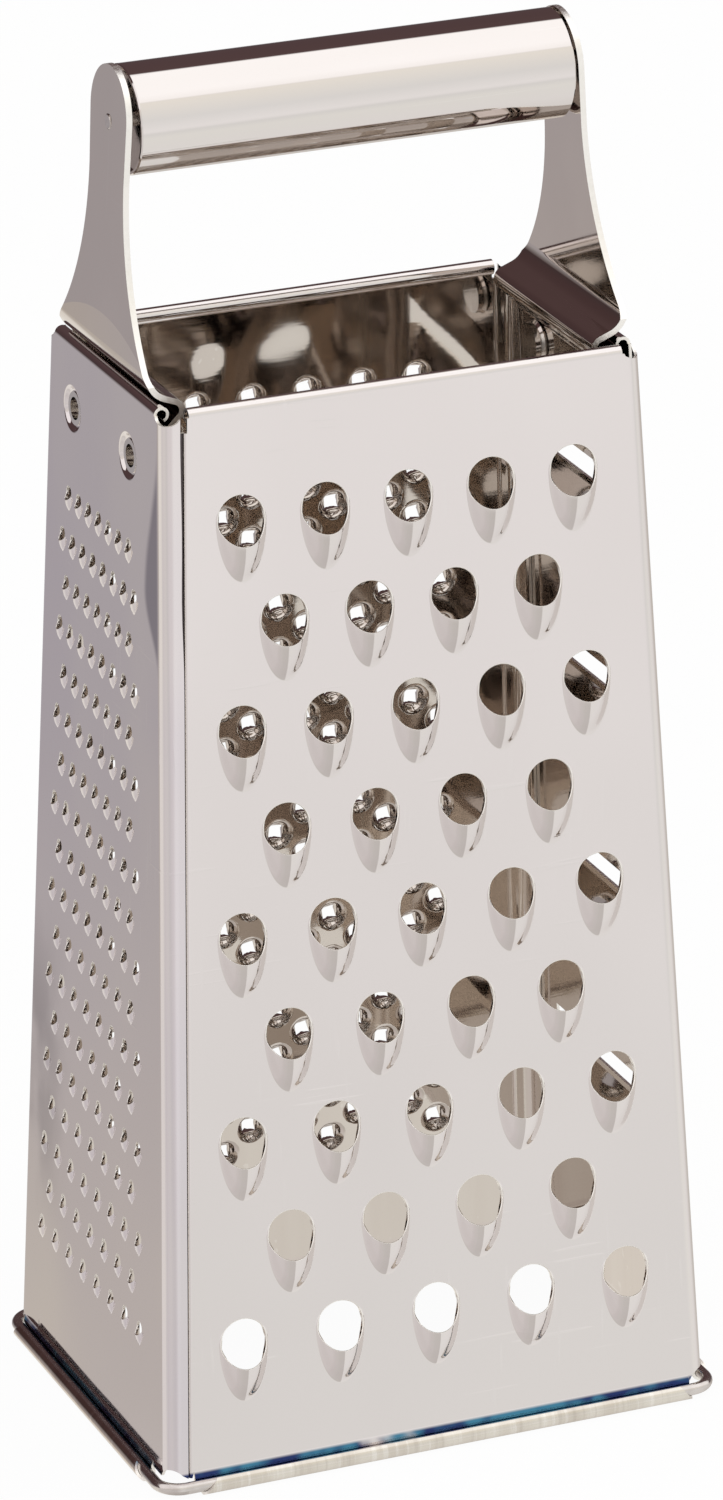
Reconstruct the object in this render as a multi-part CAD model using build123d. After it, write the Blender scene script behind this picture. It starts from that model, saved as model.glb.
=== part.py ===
from build123d import *
import math
import os

# A four-sided sheet steel grater that stands on a rolled foot.
# Frame: coarse side faces -Y, fine side -X, rasp side +Y, slicing side +X, +Z up.
# The origin is on the ground, at the middle of the footprint.
# All lengths are in millimetres.

# Body: four panels that lean inwards from the foot line to the rim
foot_width = 96.74
foot_depth = 70.94
rim_width = 82.64
rim_depth = 51.76
body_height = 180.0
foot_line = 3.75
sheet = 0.5
corner_radius = 2.6
overrun = 1.0

# Seams: one panel wraps round the corner, its neighbour steps in behind it
wrap_strip = 1.0
seam_gap = 0.1
seam_clearance = 0.05
seam_step_run = 0.25
seam_step_radius = 0.55
lap_flange = 3.0
lap_step_radius = 0.1
seam_overlap = 0.4

# Rim: each panel's top edge is curled inwards
curl_radius = 1.3
curl_sweep = 250.0
curl_setback = 0.3
rim_notch_radius = 2.2

# Foot: each panel's bottom edge is rolled round a wire ring
wire_radius = 1.0
wire_clearance = 0.05
wire_bend_radius = 4.0
roll_sweep = 235.0
roll_end_margin = 0.15
roll_seam_setback = 6.9
foot_arch_radius = 6.0
foot_arch_rise = 1.3
foot_flat = 0.05
edge_seat_angle = 10.0

# Coarse side: round mouths, each over a raised lip
coarse_rows = 9
coarse_columns = 5
coarse_top_drop = 19.0
coarse_row_pitch = 17.48
coarse_margin = 13.37
coarse_mouth_radius = 4.05
coarse_peak = 2.6
coarse_tail = 9.8
coarse_wall = 0.4

# Fine side: the same form, much smaller
fine_rows = 18
fine_columns = 8
fine_top_drop = 26.2
fine_row_pitch = 7.83
fine_margin = 11.35
fine_shift = 1.5
fine_mouth_radius = 1.15
fine_lip_drop = 0.5
fine_tail = 2.4
fine_wall = 0.25

# Rasp side: low domes, each burst open by a square punch
rasp_rows = 34
rasp_columns = 7
rasp_top_drop = 18.9
rasp_row_pitch = 4.21
rasp_pitch = 9.85
rasp_shift = 0.9
rasp_dome_radius = 2.8
rasp_dome_height = 0.9
rasp_crown_radius = 2.35
rasp_wall = 0.35
rasp_square = 2.9

# Slicing side: long raised blades, each under a slot
slicer_count = 4
slicer_pitch = 36.0
slicer_lowest = 39.6
slicer_length = 42.0
slicer_opening = 6.0
slicer_ramp = 9.0
slicer_crest = 1.0
slicer_rise = 2.2
slicer_end_run = 3.0
slicer_wall = 0.4

# Handle brackets: stamped sheet that hooks over the rim
bracket_sheet = 1.0
bracket_gap = 76.8
bracket_foot_spread = 81.54
eye_drop = 1.2
eye_radius = 8.0
neck_half_width = 7.6
neck_drop = 8.6
flare_radius = 41.3
bracket_half_depth = 20.0
shelf_rise = 1.77
shelf_bend_radius = 3.6
nose_reach = 7.82
nose_drop = 1.05
nose_radius = 2.0
flange_top_drop = 7.5
flange_bottom_drop = 18.0
flange_clearance = 0.05
flange_bend_radius = 1.0

# Rivets: hollow, set in dishes pressed through panel and flange
rivet_drop = 11.5
rivet_half_spacing = 12.6
rivet_shift = 1.4
dish_radius = 3.65
dish_floor_radius = 3.0
dish_depth = 0.7
rivet_hole_radius = 2.3
rivet_clearance = 0.05
rivet_wall = 0.35
rivet_lip_radius = 2.8
rivet_lip = 0.3
rivet_head_radius = 3.4
rivet_head = 0.9

# Grip: a hollow tube that spins on a thin rod
grip_height = 224.35
grip_radius = 8.96
grip_wall = 0.6
grip_length = 74.6
grip_shift = 0.25
grip_edge = 0.2
cap_recess = 0.8
cap_sheet = 0.8
cap_skirt = 5.0
cap_clearance = 0.03
rod_radius = 1.25
rod_bore_clearance = 0.06
rod_hole_clearance = 0.03
rod_stand = 0.15
rod_chamfer = 0.1

rim_height = foot_line + body_height
side_lean = (foot_width - rim_width) / 2 / body_height
face_lean = (foot_depth - rim_depth) / 2 / body_height
roll_inner = wire_radius + wire_clearance
roll_outer = roll_inner + sheet
# The roll is pressed level, so that it stands on a narrow flat
wire_height = roll_outer - foot_flat


class Side:
    """One side of the body, as if it faced -Y, with the sizes that its panel follows."""

    def __init__(self, turn, foot_half, foot_reach, lean, edge_lean):
        self.turn = turn
        self.foot_half = foot_half
        self.foot_reach = foot_reach
        self.lean = lean
        self.edge_lean = edge_lean
        self.tilt = math.atan(lean)
        self.plane = Plane(
            origin=(0, -foot_reach, foot_line),
            x_dir=(1, 0, 0),
            z_dir=(0, -math.cos(self.tilt), math.sin(self.tilt)),
        )
        # Along the slope, measured up from the foot line
        self.curl_at = (body_height - curl_radius + curl_radius * math.sin(self.tilt)) / math.cos(self.tilt)
        self.roll_at = (wire_height - foot_line - roll_inner * math.sin(self.tilt)) / math.cos(self.tilt)
        # Sheet thickness square to the slope, so that level sections are one sheet thick
        self.wall = sheet * math.cos(self.tilt)

    def half_at(self, height):
        """Half the outer width at a height above the ground."""
        return self.foot_half - self.edge_lean * (height - foot_line)

    def reach_at(self, height):
        """Distance of the outer face from the middle at a height above the ground."""
        return self.foot_reach - self.lean * (height - foot_line)

    def slope_at(self, height):
        """How far up the slope a height above the ground lies on the outer face."""
        return (height - foot_line) / math.cos(self.tilt)

    def turned_location(self):
        """Where the panel's own frame lies once the side faces its own way."""
        return Rot(0, 0, self.turn) * self.plane.location

    def wire_reach(self):
        """Distance of the wire's centre from the middle."""
        return (
            self.foot_reach
            - self.roll_at * math.sin(self.tilt)
            + roll_inner * math.cos(self.tilt)
        )


front_side = Side(0, foot_width / 2, foot_depth / 2, face_lean, side_lean)
right_side = Side(90, foot_depth / 2, foot_width / 2, side_lean, face_lean)
back_side = Side(180, foot_width / 2, foot_depth / 2, face_lean, side_lean)
left_side = Side(270, foot_depth / 2, foot_width / 2, side_lean, face_lean)


def parallel(points, distance):
    """The points of an open outline, moved to its left by a distance, with mitred corners."""
    vectors = [Vector(*point) for point in points]
    headings = [(b - a).normalized() for a, b in zip(vectors, vectors[1:])]
    normals = [Vector(-heading.Y, heading.X) for heading in headings]
    moved = [vectors[0] + normals[0] * distance]
    for index in range(1, len(vectors) - 1):
        before = normals[index - 1]
        after = normals[index]
        mitre = (before + after) / (1 + before.dot(after))
        moved.append(vectors[index] + mitre * distance)
    moved.append(vectors[-1] + normals[-1] * distance)
    return moved


def left_turns(points):
    """For each inner corner of an open outline: 1 where it turns left, -1 where it turns right."""
    vectors = [Vector(*point) for point in points]
    turns = []
    for a, b, c in zip(vectors, vectors[1:], vectors[2:]):
        turns.append(1 if (b - a).cross(c - b).Z > 0 else -1)
    return turns


def bent_strip(points, radii, thickness):
    """Section of a bent sheet. The outline is its right side, rounded by one radius a corner."""
    other_points = parallel(points, thickness)
    other_radii = [radius - turn * thickness for radius, turn in zip(radii, left_turns(points))]
    near = FilletPolyline(*points, radius=list(radii))
    far = FilletPolyline(*other_points, radius=other_radii)
    first_end = Line(near @ 0, far @ 0)
    last_end = Line(near @ 1, far @ 1)
    return make_face([*near.edges(), last_end.edge(), *far.edges(), first_end.edge()])


def ring_sector(centre, outer, inner, start, sweep):
    """Part of a flat ring. Angles are in degrees, and a negative sweep runs clockwise."""
    outer_arc = CenterArc(centre, outer, start, sweep)
    inner_arc = CenterArc(centre, inner, start, sweep)
    first_end = Line(inner_arc @ 0, outer_arc @ 0)
    last_end = Line(inner_arc @ 1, outer_arc @ 1)
    return make_face([outer_arc.edge(), last_end.edge(), inner_arc.edge(), first_end.edge()])


def along_edge(section, start, end):
    """A section drawn over (up the slope, outwards), run along the panel from start to end."""
    section_plane = Plane(origin=(start, 0, 0), x_dir=(0, 1, 0), z_dir=(1, 0, 0))
    return extrude(section_plane.location * section, amount=end - start, dir=(1, 0, 0))


def corner_prism(side, section, low, high):
    """A level section at the right-hand corner, run up along the leaning corner edge."""
    climb = Vector(-side.edge_lean, side.lean, 1) * (high - low)
    placed = Pos(side.half_at(low), -side.reach_at(low), low) * section
    return Solid.extrude(placed.face(), climb)


def corner_bore(side, radius, height):
    """A level cylinder through the right-hand corner, along its diagonal."""
    plane = Plane(
        origin=(side.half_at(height), -side.reach_at(height), height),
        x_dir=(0, 0, 1),
        z_dir=(1, -1, 0),
    )
    return plane.location * Cylinder(radius, (corner_radius + overrun) * 2)


def wrapped_corner(side):
    """The panel's own sheet carried round its right-hand corner onto the next face."""
    outline = [
        (-corner_radius - seam_overlap, 0),
        (0, 0),
        (0, corner_radius + wrap_strip),
    ]
    section = bent_strip(outline, [corner_radius], sheet)
    wrap = corner_prism(side, section, foot_line, rim_height - curl_radius)
    wrap -= corner_bore(side, rim_notch_radius, rim_height - curl_radius)
    wrap -= corner_bore(side, foot_arch_radius, foot_line - foot_arch_radius + foot_arch_rise)
    return wrap


def lap_start():
    """Distance from the corner at which a lapped panel's face ends and its step begins."""
    return corner_radius + wrap_strip + seam_gap + seam_step_run


def lapped_corner(side):
    """The panel's edge stepped in behind its neighbour's wrap, with a flange along it."""
    inset = sheet + seam_clearance
    step_in = corner_radius + wrap_strip + seam_gap
    outline = [
        (-lap_start() - seam_step_radius - seam_overlap, 0),
        (-lap_start(), 0),
        (-step_in, inset),
        (-inset, inset),
        (-inset, corner_radius + lap_flange),
    ]
    radii = [seam_step_radius, lap_step_radius, corner_radius - inset]
    section = bent_strip(outline, radii, sheet)
    top = rim_height - 2 * curl_radius - rim_notch_radius
    lap = corner_prism(side, section, foot_line, top)
    return lap - corner_bore(side, foot_arch_radius, foot_line - foot_arch_radius + foot_arch_rise)


def face_end(wraps):
    """Distance from the corner at which the panel's flat face ends."""
    return corner_radius if wraps else lap_start()


def roll_setback(seam_corner):
    """Distance from the corner at which the roll ends."""
    return roll_seam_setback if seam_corner else wire_bend_radius - roll_inner + roll_end_margin


def plate_outline(side, left_wraps, right_wraps, roll_left, roll_right):
    """The flat part of a panel, between the curl and the roll."""
    foot_half = side.half_at(foot_line)
    top_half = side.half_at(foot_line + side.curl_at * math.cos(side.tilt))
    left = face_end(left_wraps)
    right = face_end(right_wraps)
    points = [
        (left - foot_half, 0),
        (roll_left - foot_half, 0),
        (roll_left - foot_half, side.roll_at),
        (foot_half - roll_right, side.roll_at),
        (foot_half - roll_right, 0),
        (foot_half - right, 0),
        (top_half - right, side.curl_at),
        (left - top_half, side.curl_at),
    ]
    return make_face(Polyline(*points, close=True).edges())


def rim_curl(side, left_wraps, right_wraps):
    """The curl along the panel's top edge."""
    section = ring_sector(
        (side.curl_at, -curl_radius),
        curl_radius,
        curl_radius - sheet,
        90 + edge_seat_angle,
        -curl_sweep - edge_seat_angle,
    )
    half = side.half_at(rim_height)
    start = face_end(left_wraps) + curl_setback - half
    end = half - face_end(right_wraps) - curl_setback
    return along_edge(section, start, end)


def foot_roll(side, roll_left, roll_right):
    """The roll along the panel's bottom edge, round the wire."""
    section = ring_sector(
        (side.roll_at, roll_inner),
        roll_outer,
        roll_inner,
        edge_seat_angle - 90,
        -roll_sweep - edge_seat_angle,
    )
    foot_half = side.half_at(foot_line)
    roll = side.plane.location * along_edge(section, roll_left - foot_half, foot_half - roll_right)
    ground = Box(foot_width, 2 * foot_depth, overrun)
    return roll - Pos(0, 0, -overrun / 2) * ground


def make_panel(side, wraps, seams, punches=(), features=()):
    """A whole panel: punched flat, curl, roll and corners. Pairs run left to right."""
    left_wraps, right_wraps = wraps
    roll_left, roll_right = (roll_setback(seam) for seam in seams)
    flat = plate_outline(side, left_wraps, right_wraps, roll_left, roll_right)
    for punch, places in punches:
        flat -= [place * punch for place in places]
    plate = extrude(flat, amount=-side.wall, dir=(0, 0, 1))
    pieces = [rim_curl(side, left_wraps, right_wraps)]
    for feature, places in features:
        pieces += [place * feature for place in places]
    sloped = side.plane.location * plate
    corners = []
    for mirrored, wrapped in ((True, left_wraps), (False, right_wraps)):
        corner = wrapped_corner(side) if wrapped else lapped_corner(side)
        corners.append(mirror(corner, Plane.YZ) if mirrored else corner)
    corners.append(foot_roll(side, roll_left, roll_right))
    joined = sloped.fuse(*[side.plane.location * piece for piece in pieces], *corners)
    return Rot(0, 0, side.turn) * joined


def spheroid(radius, half_length):
    """A solid of revolution about the Y axis, with its middle at zero."""
    arc = EllipticalCenterArc((0, 0), radius, half_length, start_angle=-90, arc_size=180)
    chord = Line(arc @ 1, arc @ 0)
    return revolve(make_face([arc.edge(), chord.edge()]), Axis.Y, 360)


def scoop(mouth_radius, peak, tail, wall):
    """A raised lip below a round mouth, and the shape that is punched out for both."""
    radius = (mouth_radius**2 / peak + peak) / 2
    sunk = radius - peak
    half_length = radius * tail / mouth_radius
    outer = Pos(0, 0, -sunk) * spheroid(radius, half_length)
    inner = Pos(0, 0, -sunk) * spheroid(radius - wall, half_length - wall)
    keep_depth = tail + overrun
    keep_height = peak + wall + overrun
    keep = Pos(0, -keep_depth / 2, keep_height / 2 - wall) * Box(2 * radius, keep_depth, keep_height)
    lip = (outer - inner) & keep
    lip -= Cylinder(mouth_radius, 2 * keep_height)
    # Where the inner surface meets the level at which the lip starts in the sheet
    cut_share = math.sqrt(1 - ((sunk - wall) / (radius - wall)) ** 2)
    hollow = Ellipse((radius - wall) * cut_share, (half_length - wall) * cut_share)
    hollow &= Pos(0, -keep_depth / 2) * Rectangle(2 * radius, keep_depth)
    punch = Circle(mouth_radius) + hollow
    return lip, punch


def small_scoop(mouth_radius, lip_drop, tail, wall):
    """A half cone raised below a round mouth, and the shape that is punched out for both."""
    lip_radius = mouth_radius * (tail - lip_drop) / tail
    wall_run = wall * math.hypot(mouth_radius, tail) / tail
    outer = make_face(Polyline((0, 0), (lip_radius, 0), (0, lip_drop - tail), close=True).edges())
    inner_radius = lip_radius - wall_run
    inner_tail = inner_radius * tail / mouth_radius
    inner = make_face(Polyline((0, 0), (inner_radius, 0), (0, -inner_tail), close=True).edges())
    cone = Pos(0, -lip_drop, 0) * (revolve(outer, Axis.Y, 360) - revolve(inner, Axis.Y, 360))
    keep = Pos(0, -tail / 2, mouth_radius / 2) * Box(2 * mouth_radius, 2 * tail, mouth_radius)
    sides = Polyline(
        (-inner_radius, -lip_drop), (0, -lip_drop - inner_tail), (inner_radius, -lip_drop), close=True
    )
    punch = Circle(mouth_radius) + make_face(sides.edges())
    return cone & keep, punch


def staggered(side, rows, columns, full_first, top_drop, row_pitch, half_span, shift):
    """Places on a panel in rows that hold one more and one fewer by turns."""
    places = []
    for row in range(rows):
        height = rim_height - top_drop - row * row_pitch
        step = 2 * half_span(height) / (columns - 1)
        full_row = (row % 2 == 0) == full_first
        count = columns if full_row else columns - 1
        for column in range(count):
            across = (column - (count - 1) / 2) * step + shift
            places.append(Pos(across, side.slope_at(height), 0))
    return places


def turned(points):
    """A solid turned round the Z axis, from an outline over (radius, height)."""
    outline = make_face(Polyline(*points, close=True).edges())
    return revolve(Plane.XZ.location * outline, Axis.Z, 360)


def pressed_dish(top, thickness):
    """A dish pressed into a sheet whose outer face lies at top, with a hole in its floor."""
    floor = top - dish_depth
    return turned([
        (dish_radius, top),
        (dish_floor_radius, floor),
        (rivet_hole_radius, floor),
        (rivet_hole_radius, floor - thickness),
        (dish_floor_radius, floor - thickness),
        (dish_radius, top - thickness),
    ])


def rivet_places(side, shift):
    """Where the two rivets of a side panel go."""
    up = side.slope_at(rim_height - rivet_drop)
    return [Pos(shift - rivet_half_spacing, up, 0), Pos(shift + rivet_half_spacing, up, 0)]


def make_front_panel():
    """The coarse side."""
    lip, punch = scoop(coarse_mouth_radius, coarse_peak, coarse_tail, coarse_wall)
    places = staggered(
        front_side, coarse_rows, coarse_columns, True, coarse_top_drop, coarse_row_pitch,
        lambda height: front_side.half_at(height) - coarse_margin, 0,
    )
    return make_panel(front_side, (False, True), (True, False), [(punch, places)], [(lip, places)])


def make_left_panel():
    """The fine side, with the dishes of the left bracket's rivets."""
    lip, punch = small_scoop(fine_mouth_radius, fine_lip_drop, fine_tail, fine_wall)
    places = staggered(
        left_side, fine_rows, fine_columns, False, fine_top_drop, fine_row_pitch,
        lambda height: left_side.half_at(height) - fine_margin, -fine_shift,
    )
    dishes = rivet_places(left_side, -rivet_shift)
    return make_panel(
        left_side, (True, True), (False, True),
        [(punch, places), (Circle(dish_radius), dishes)],
        [(lip, places), (pressed_dish(0, left_side.wall), dishes)],
    )


def rasp_burst():
    """A low flat-topped dome, burst open by a square punch, and its footprint."""
    flare = rasp_dome_radius - rasp_crown_radius
    outline = [
        (0, rasp_dome_height),
        (rasp_crown_radius, rasp_dome_height),
        (rasp_dome_radius, 0),
        (rasp_dome_radius, -rasp_wall / 2),
        (0, -rasp_wall / 2),
    ]
    wall_run = rasp_wall * math.hypot(flare, rasp_dome_height) / rasp_dome_height
    hollow_radius = rasp_dome_radius - wall_run
    crown = rasp_crown_radius - wall_run + flare * rasp_wall / rasp_dome_height
    hollow = turned([
        (0, rasp_dome_height - rasp_wall),
        (crown, rasp_dome_height - rasp_wall),
        (hollow_radius, 0),
        (hollow_radius, -rasp_wall),
        (0, -rasp_wall),
    ])
    square = Rot(0, 0, 45) * Box(rasp_square, rasp_square, 4 * rasp_dome_height)
    return turned(outline) - hollow - square, Circle(hollow_radius)


def make_back_panel():
    """The rasp side."""
    burst, punch = rasp_burst()
    places = staggered(
        back_side, rasp_rows, rasp_columns, False, rasp_top_drop, rasp_row_pitch,
        lambda height: rasp_pitch * (rasp_columns - 1) / 2, rasp_shift,
    )
    return make_panel(back_side, (False, False), (False, True), [(punch, places)], [(burst, places)])


def blade_ramp():
    """A long raised blade below a slot, and the shape that is punched out for both."""
    def crest(level):
        foot = Pos(0, -slicer_ramp / 2, level) * Rectangle(slicer_length, slicer_ramp)
        top_length = slicer_length - 2 * slicer_end_run
        top = Pos(0, -slicer_crest / 2, level + slicer_rise) * Rectangle(top_length, slicer_crest)
        return loft([foot.face(), top.face()], ruled=True)

    base = Pos(0, -slicer_ramp / 2, -slicer_wall / 2) * Box(slicer_length, slicer_ramp, slicer_wall)
    ramp = (crest(0) + base) - crest(-slicer_wall)
    # The hollow narrows by this much where it passes the panel's outer face
    narrowed_share = slicer_wall / slicer_rise
    hollow_length = slicer_length - 2 * slicer_end_run * narrowed_share
    hollow_depth = slicer_ramp - (slicer_ramp - slicer_crest) * narrowed_share
    hollow = Pos(0, -hollow_depth / 2) * Rectangle(hollow_length, hollow_depth)
    slot = Pos(0, slicer_opening / 2) * Rectangle(slicer_length, slicer_opening)
    return ramp, hollow + slot


def make_right_panel():
    """The slicing side, with the dishes of the right bracket's rivets."""
    ramp, punch = blade_ramp()
    places = []
    for index in range(slicer_count):
        height = foot_line + slicer_lowest + index * slicer_pitch
        places.append(Pos(0, right_side.slope_at(height), 0))
    dishes = rivet_places(right_side, rivet_shift)
    return make_panel(
        right_side, (False, True), (False, True),
        [(punch, places), (Circle(dish_radius), dishes)],
        [(ramp, places), (pressed_dish(0, right_side.wall), dishes)],
    )


def make_base_wire():
    """The closed ring of wire in the rolled foot, bare at its four bends."""
    ring = RectangleRounded(2 * right_side.wire_reach(), 2 * front_side.wire_reach(), wire_bend_radius)
    path = Pos(0, 0, wire_height) * ring.wire()
    section = Plane(origin=path @ 0, z_dir=path % 0).location * Circle(wire_radius)
    return sweep(section, path=path)


def make_right_bracket():
    """The right handle bracket: eye, neck, flare, shelf over the rim and flange inside."""
    rim_half = rim_width / 2
    eye_height = grip_height + eye_drop
    top = eye_height + eye_radius + overrun
    shelf_height = rim_height + shelf_rise
    spread = (bracket_foot_spread - bracket_gap) / 2
    spread_share = spread / (grip_height - shelf_height)
    flange_top = rim_height - flange_top_drop
    flange_bottom = rim_height - flange_bottom_drop
    flange_inset = sheet + flange_clearance + bracket_sheet
    outline = [
        (bracket_gap / 2 - spread_share * (top - grip_height), top),
        (bracket_foot_spread / 2, shelf_height),
        (rim_half - nose_reach, rim_height - nose_drop),
        (right_side.reach_at(flange_top) - flange_inset, flange_top),
        (right_side.reach_at(flange_bottom) - flange_inset, flange_bottom),
    ]
    section = bent_strip(outline, [shelf_bend_radius, nose_radius, flange_bend_radius], bracket_sheet)
    width = 2 * bracket_half_depth + overrun
    strip = Pos(0, width / 2, 0) * extrude(Plane.XZ.location * section, amount=width, dir=(0, -1, 0))
    return strip & bracket_blank(eye_height, flange_bottom - overrun)


def bracket_blank(eye_height, bottom):
    """The bracket's outline seen along X, as a solid that is cut with its bent strip."""
    neck_height = eye_height - neck_drop - eye_drop
    flare_middle = neck_half_width + flare_radius
    flare_reach = math.sqrt(flare_radius**2 - (flare_middle - bracket_half_depth) ** 2)
    flare_height = neck_height - flare_reach
    flare_angle = math.degrees(math.asin(flare_reach / flare_radius))
    right_flare = CenterArc((flare_middle, neck_height), flare_radius, 180, flare_angle)
    left_flare = CenterArc((-flare_middle, neck_height), flare_radius, -flare_angle, flare_angle)
    crown = CenterArc((0, eye_height), eye_radius, 0, 180)
    edges = [
        right_flare.edge(),
        Line((neck_half_width, neck_height), crown @ 0).edge(),
        crown.edge(),
        Line(crown @ 1, (-neck_half_width, neck_height)).edge(),
        left_flare.edge(),
        Line((-bracket_half_depth, flare_height), (-bracket_half_depth, bottom)).edge(),
        Line((-bracket_half_depth, bottom), (bracket_half_depth, bottom)).edge(),
        Line((bracket_half_depth, bottom), (bracket_half_depth, flare_height)).edge(),
    ]
    outline = make_face(edges)
    return extrude(Plane.YZ.location * outline, amount=foot_width, dir=(1, 0, 0))


def flange_face():
    """How far inwards of the panel's outer face the bracket's flange begins."""
    return -right_side.wall - flange_clearance


def pierced_bracket():
    """The right bracket with its rod hole and its rivet dishes."""
    bracket = make_right_bracket()
    rod_hole = Pos(bracket_gap / 2, 0, grip_height) * Rot(0, 90, 0)
    bracket -= rod_hole * Cylinder(rod_radius + rod_hole_clearance, 4 * bracket_sheet)
    for place in rivet_places(right_side, rivet_shift):
        seat = right_side.turned_location() * place
        blank = Pos(0, 0, flange_face()) * Cylinder(dish_radius, 2 * bracket_sheet + 2 * dish_depth)
        bracket -= seat * blank
        bracket = bracket.fuse(seat * pressed_dish(flange_face(), bracket_sheet))
    return bracket


def make_rivets(side, shift):
    """Two hollow rivets: a lip in the dish, a tube through both sheets and a head inside."""
    lip_top = rivet_lip - dish_depth
    floor = -dish_depth
    inside = flange_face() - dish_depth - bracket_sheet
    tube_radius = rivet_hole_radius - rivet_clearance
    bore_radius = tube_radius - rivet_wall
    rivet = turned([
        (0, inside - rivet_head),
        (rivet_head_radius, inside - rivet_head),
        (rivet_head_radius, inside),
        (tube_radius, inside),
        (tube_radius, floor),
        (rivet_lip_radius, floor),
        (rivet_lip_radius, lip_top),
        (bore_radius, lip_top),
        (bore_radius, inside),
        (0, inside),
    ])
    places = [side.turned_location() * place for place in rivet_places(side, shift)]
    return Compound(children=[(place * rivet).solid() for place in places])


def make_handle_tube():
    """The hollow grip, its outer edges broken."""
    outer = Cylinder(grip_radius, grip_length)
    outer = chamfer(outer.edges(), grip_edge)
    tube = outer - Cylinder(grip_radius - grip_wall, grip_length + overrun)
    return Pos(grip_shift, 0, grip_height) * Rot(0, 90, 0) * tube


def make_handle_cap():
    """A cup in the grip's end, open towards the grip's middle, with the rod's bore."""
    outside = grip_radius - grip_wall - cap_clearance
    bore = rod_radius + rod_bore_clearance
    return turned([
        (bore, 0),
        (outside, 0),
        (outside, -cap_skirt),
        (outside - cap_sheet, -cap_skirt),
        (outside - cap_sheet, -cap_sheet),
        (bore, -cap_sheet),
    ])


def make_handle_caps():
    """The two cups, left and right."""
    cap = make_handle_cap()
    reach = grip_length / 2 - cap_recess
    left = Pos(grip_shift - reach, 0, grip_height) * Rot(0, -90, 0) * cap
    right = Pos(grip_shift + reach, 0, grip_height) * Rot(0, 90, 0) * cap
    return left, right


def make_handle_rod():
    """The thin rod through the grip, its ends level with the brackets' outer faces."""
    length = bracket_gap + 2 * (bracket_sheet + rod_stand)
    rod = Cylinder(rod_radius, length)
    rod = chamfer(rod.edges().filter_by(GeomType.CIRCLE), rod_chamfer)
    return Pos(0, 0, grip_height) * Rot(0, 90, 0) * rod


right_bracket = pierced_bracket()
left_cap, right_cap = make_handle_caps()

nodes = {
    "front_panel": make_front_panel(),
    "left_panel": make_left_panel(),
    "back_panel": make_back_panel(),
    "right_panel": make_right_panel(),
    "base_wire": make_base_wire(),
    "left_handle_bracket": mirror(right_bracket, Plane.YZ),
    "right_handle_bracket": right_bracket,
    "left_rivets": make_rivets(left_side, -rivet_shift),
    "right_rivets": make_rivets(right_side, rivet_shift),
    "handle_tube": make_handle_tube(),
    "handle_left_cap": left_cap,
    "handle_right_cap": right_cap,
    "handle_rod": make_handle_rod(),
}

os.makedirs("parts", exist_ok=True)
for name, shape in nodes.items():
    export_step(shape, f"parts/{name}.step")
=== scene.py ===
import math

import bpy
import numpy as np
from mathutils import Euler, Matrix, Vector
from mathutils.geometry import delaunay_2d_cdt


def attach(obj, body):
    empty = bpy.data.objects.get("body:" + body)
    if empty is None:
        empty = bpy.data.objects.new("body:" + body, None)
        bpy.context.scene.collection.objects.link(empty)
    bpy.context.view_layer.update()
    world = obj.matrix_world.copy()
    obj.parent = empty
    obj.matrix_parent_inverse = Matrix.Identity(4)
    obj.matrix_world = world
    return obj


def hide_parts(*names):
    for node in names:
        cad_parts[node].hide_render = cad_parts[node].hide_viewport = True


# Looks for the box grater. Sizes of the sheets, the lens and the sensor are in millimetres,
# and mm turns them into metres. Places of the camera and the floor and depths of bumps are in
# metres, and scales of noise are per metre.
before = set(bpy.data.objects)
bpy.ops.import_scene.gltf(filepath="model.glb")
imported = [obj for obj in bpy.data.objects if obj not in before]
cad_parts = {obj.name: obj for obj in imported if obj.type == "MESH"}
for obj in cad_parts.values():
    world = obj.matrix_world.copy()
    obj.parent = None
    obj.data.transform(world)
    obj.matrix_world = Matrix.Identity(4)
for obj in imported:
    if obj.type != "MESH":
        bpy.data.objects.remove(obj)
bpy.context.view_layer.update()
mm = 0.001

# Camera, solved from the photograph's four bottom corners, rim and hole rows
camera_yaw = 22.01
camera_pitch = 21.51
camera_roll = -0.888
camera_place = Vector((-0.4668, -1.1601, 0.6039))
camera_lens = 195.65
sensor_long_side = 36.0

# Stage
floor_half = 4.0
floor_steps = 8
floor_level = -0.0002
floor_glow = 0.96
background_white = (1.0, 1.0, 1.0, 1.0)

# Body sizes, the same as the part's apart from the rim notches' depth, the foot arches,
# the skirt and where the lapped seam's roll ends
foot_width = 96.74
foot_depth = 70.94
rim_width = 82.64
rim_depth = 51.76
body_height = 180.0
foot_line = 3.75
sheet = 0.5
corner_radius = 2.6
wrap_strip = 1.0
seam_gap = 0.1
seam_clearance = 0.05
seam_step_run = 0.25
seam_step_radius = 0.55
lap_flange = 3.0
lap_step_radius = 0.1
curl_radius = 1.3
curl_sweep = 250.0
curl_setback = 0.3
rim_notch_radius = 2.2
rim_notch_depth = 1.1
wire_radius = 1.0
wire_clearance = 0.05
wire_bend_radius = 4.0
roll_sweep = 235.0
roll_end_margin = 0.15
roll_seam_setback = 6.9
lapped_roll_setback = 5.5
foot_arch_radius = 2.1
foot_arch_rise = 0.6
skirt_low = 2.6
skirt_gap = 0.12
foot_spot_step = 0.45
foot_flat = 0.05
rim_height = foot_line + body_height
side_lean = (foot_width - rim_width) / 2 / body_height
face_lean = (foot_depth - rim_depth) / 2 / body_height
roll_inner = wire_radius + wire_clearance
wire_height = roll_inner + sheet - foot_flat

# Coarse side
coarse_rows = 9
coarse_columns = 5
coarse_top_drop = 19.0
coarse_row_pitch = 17.48
coarse_margin = 13.37
coarse_mouth_radius = 4.05
coarse_peak = 2.6
coarse_tail = 9.8
coarse_soft = 0.9
coarse_patch_margin = 1.3
coarse_lip = 0.16
coarse_spokes = 64

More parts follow.
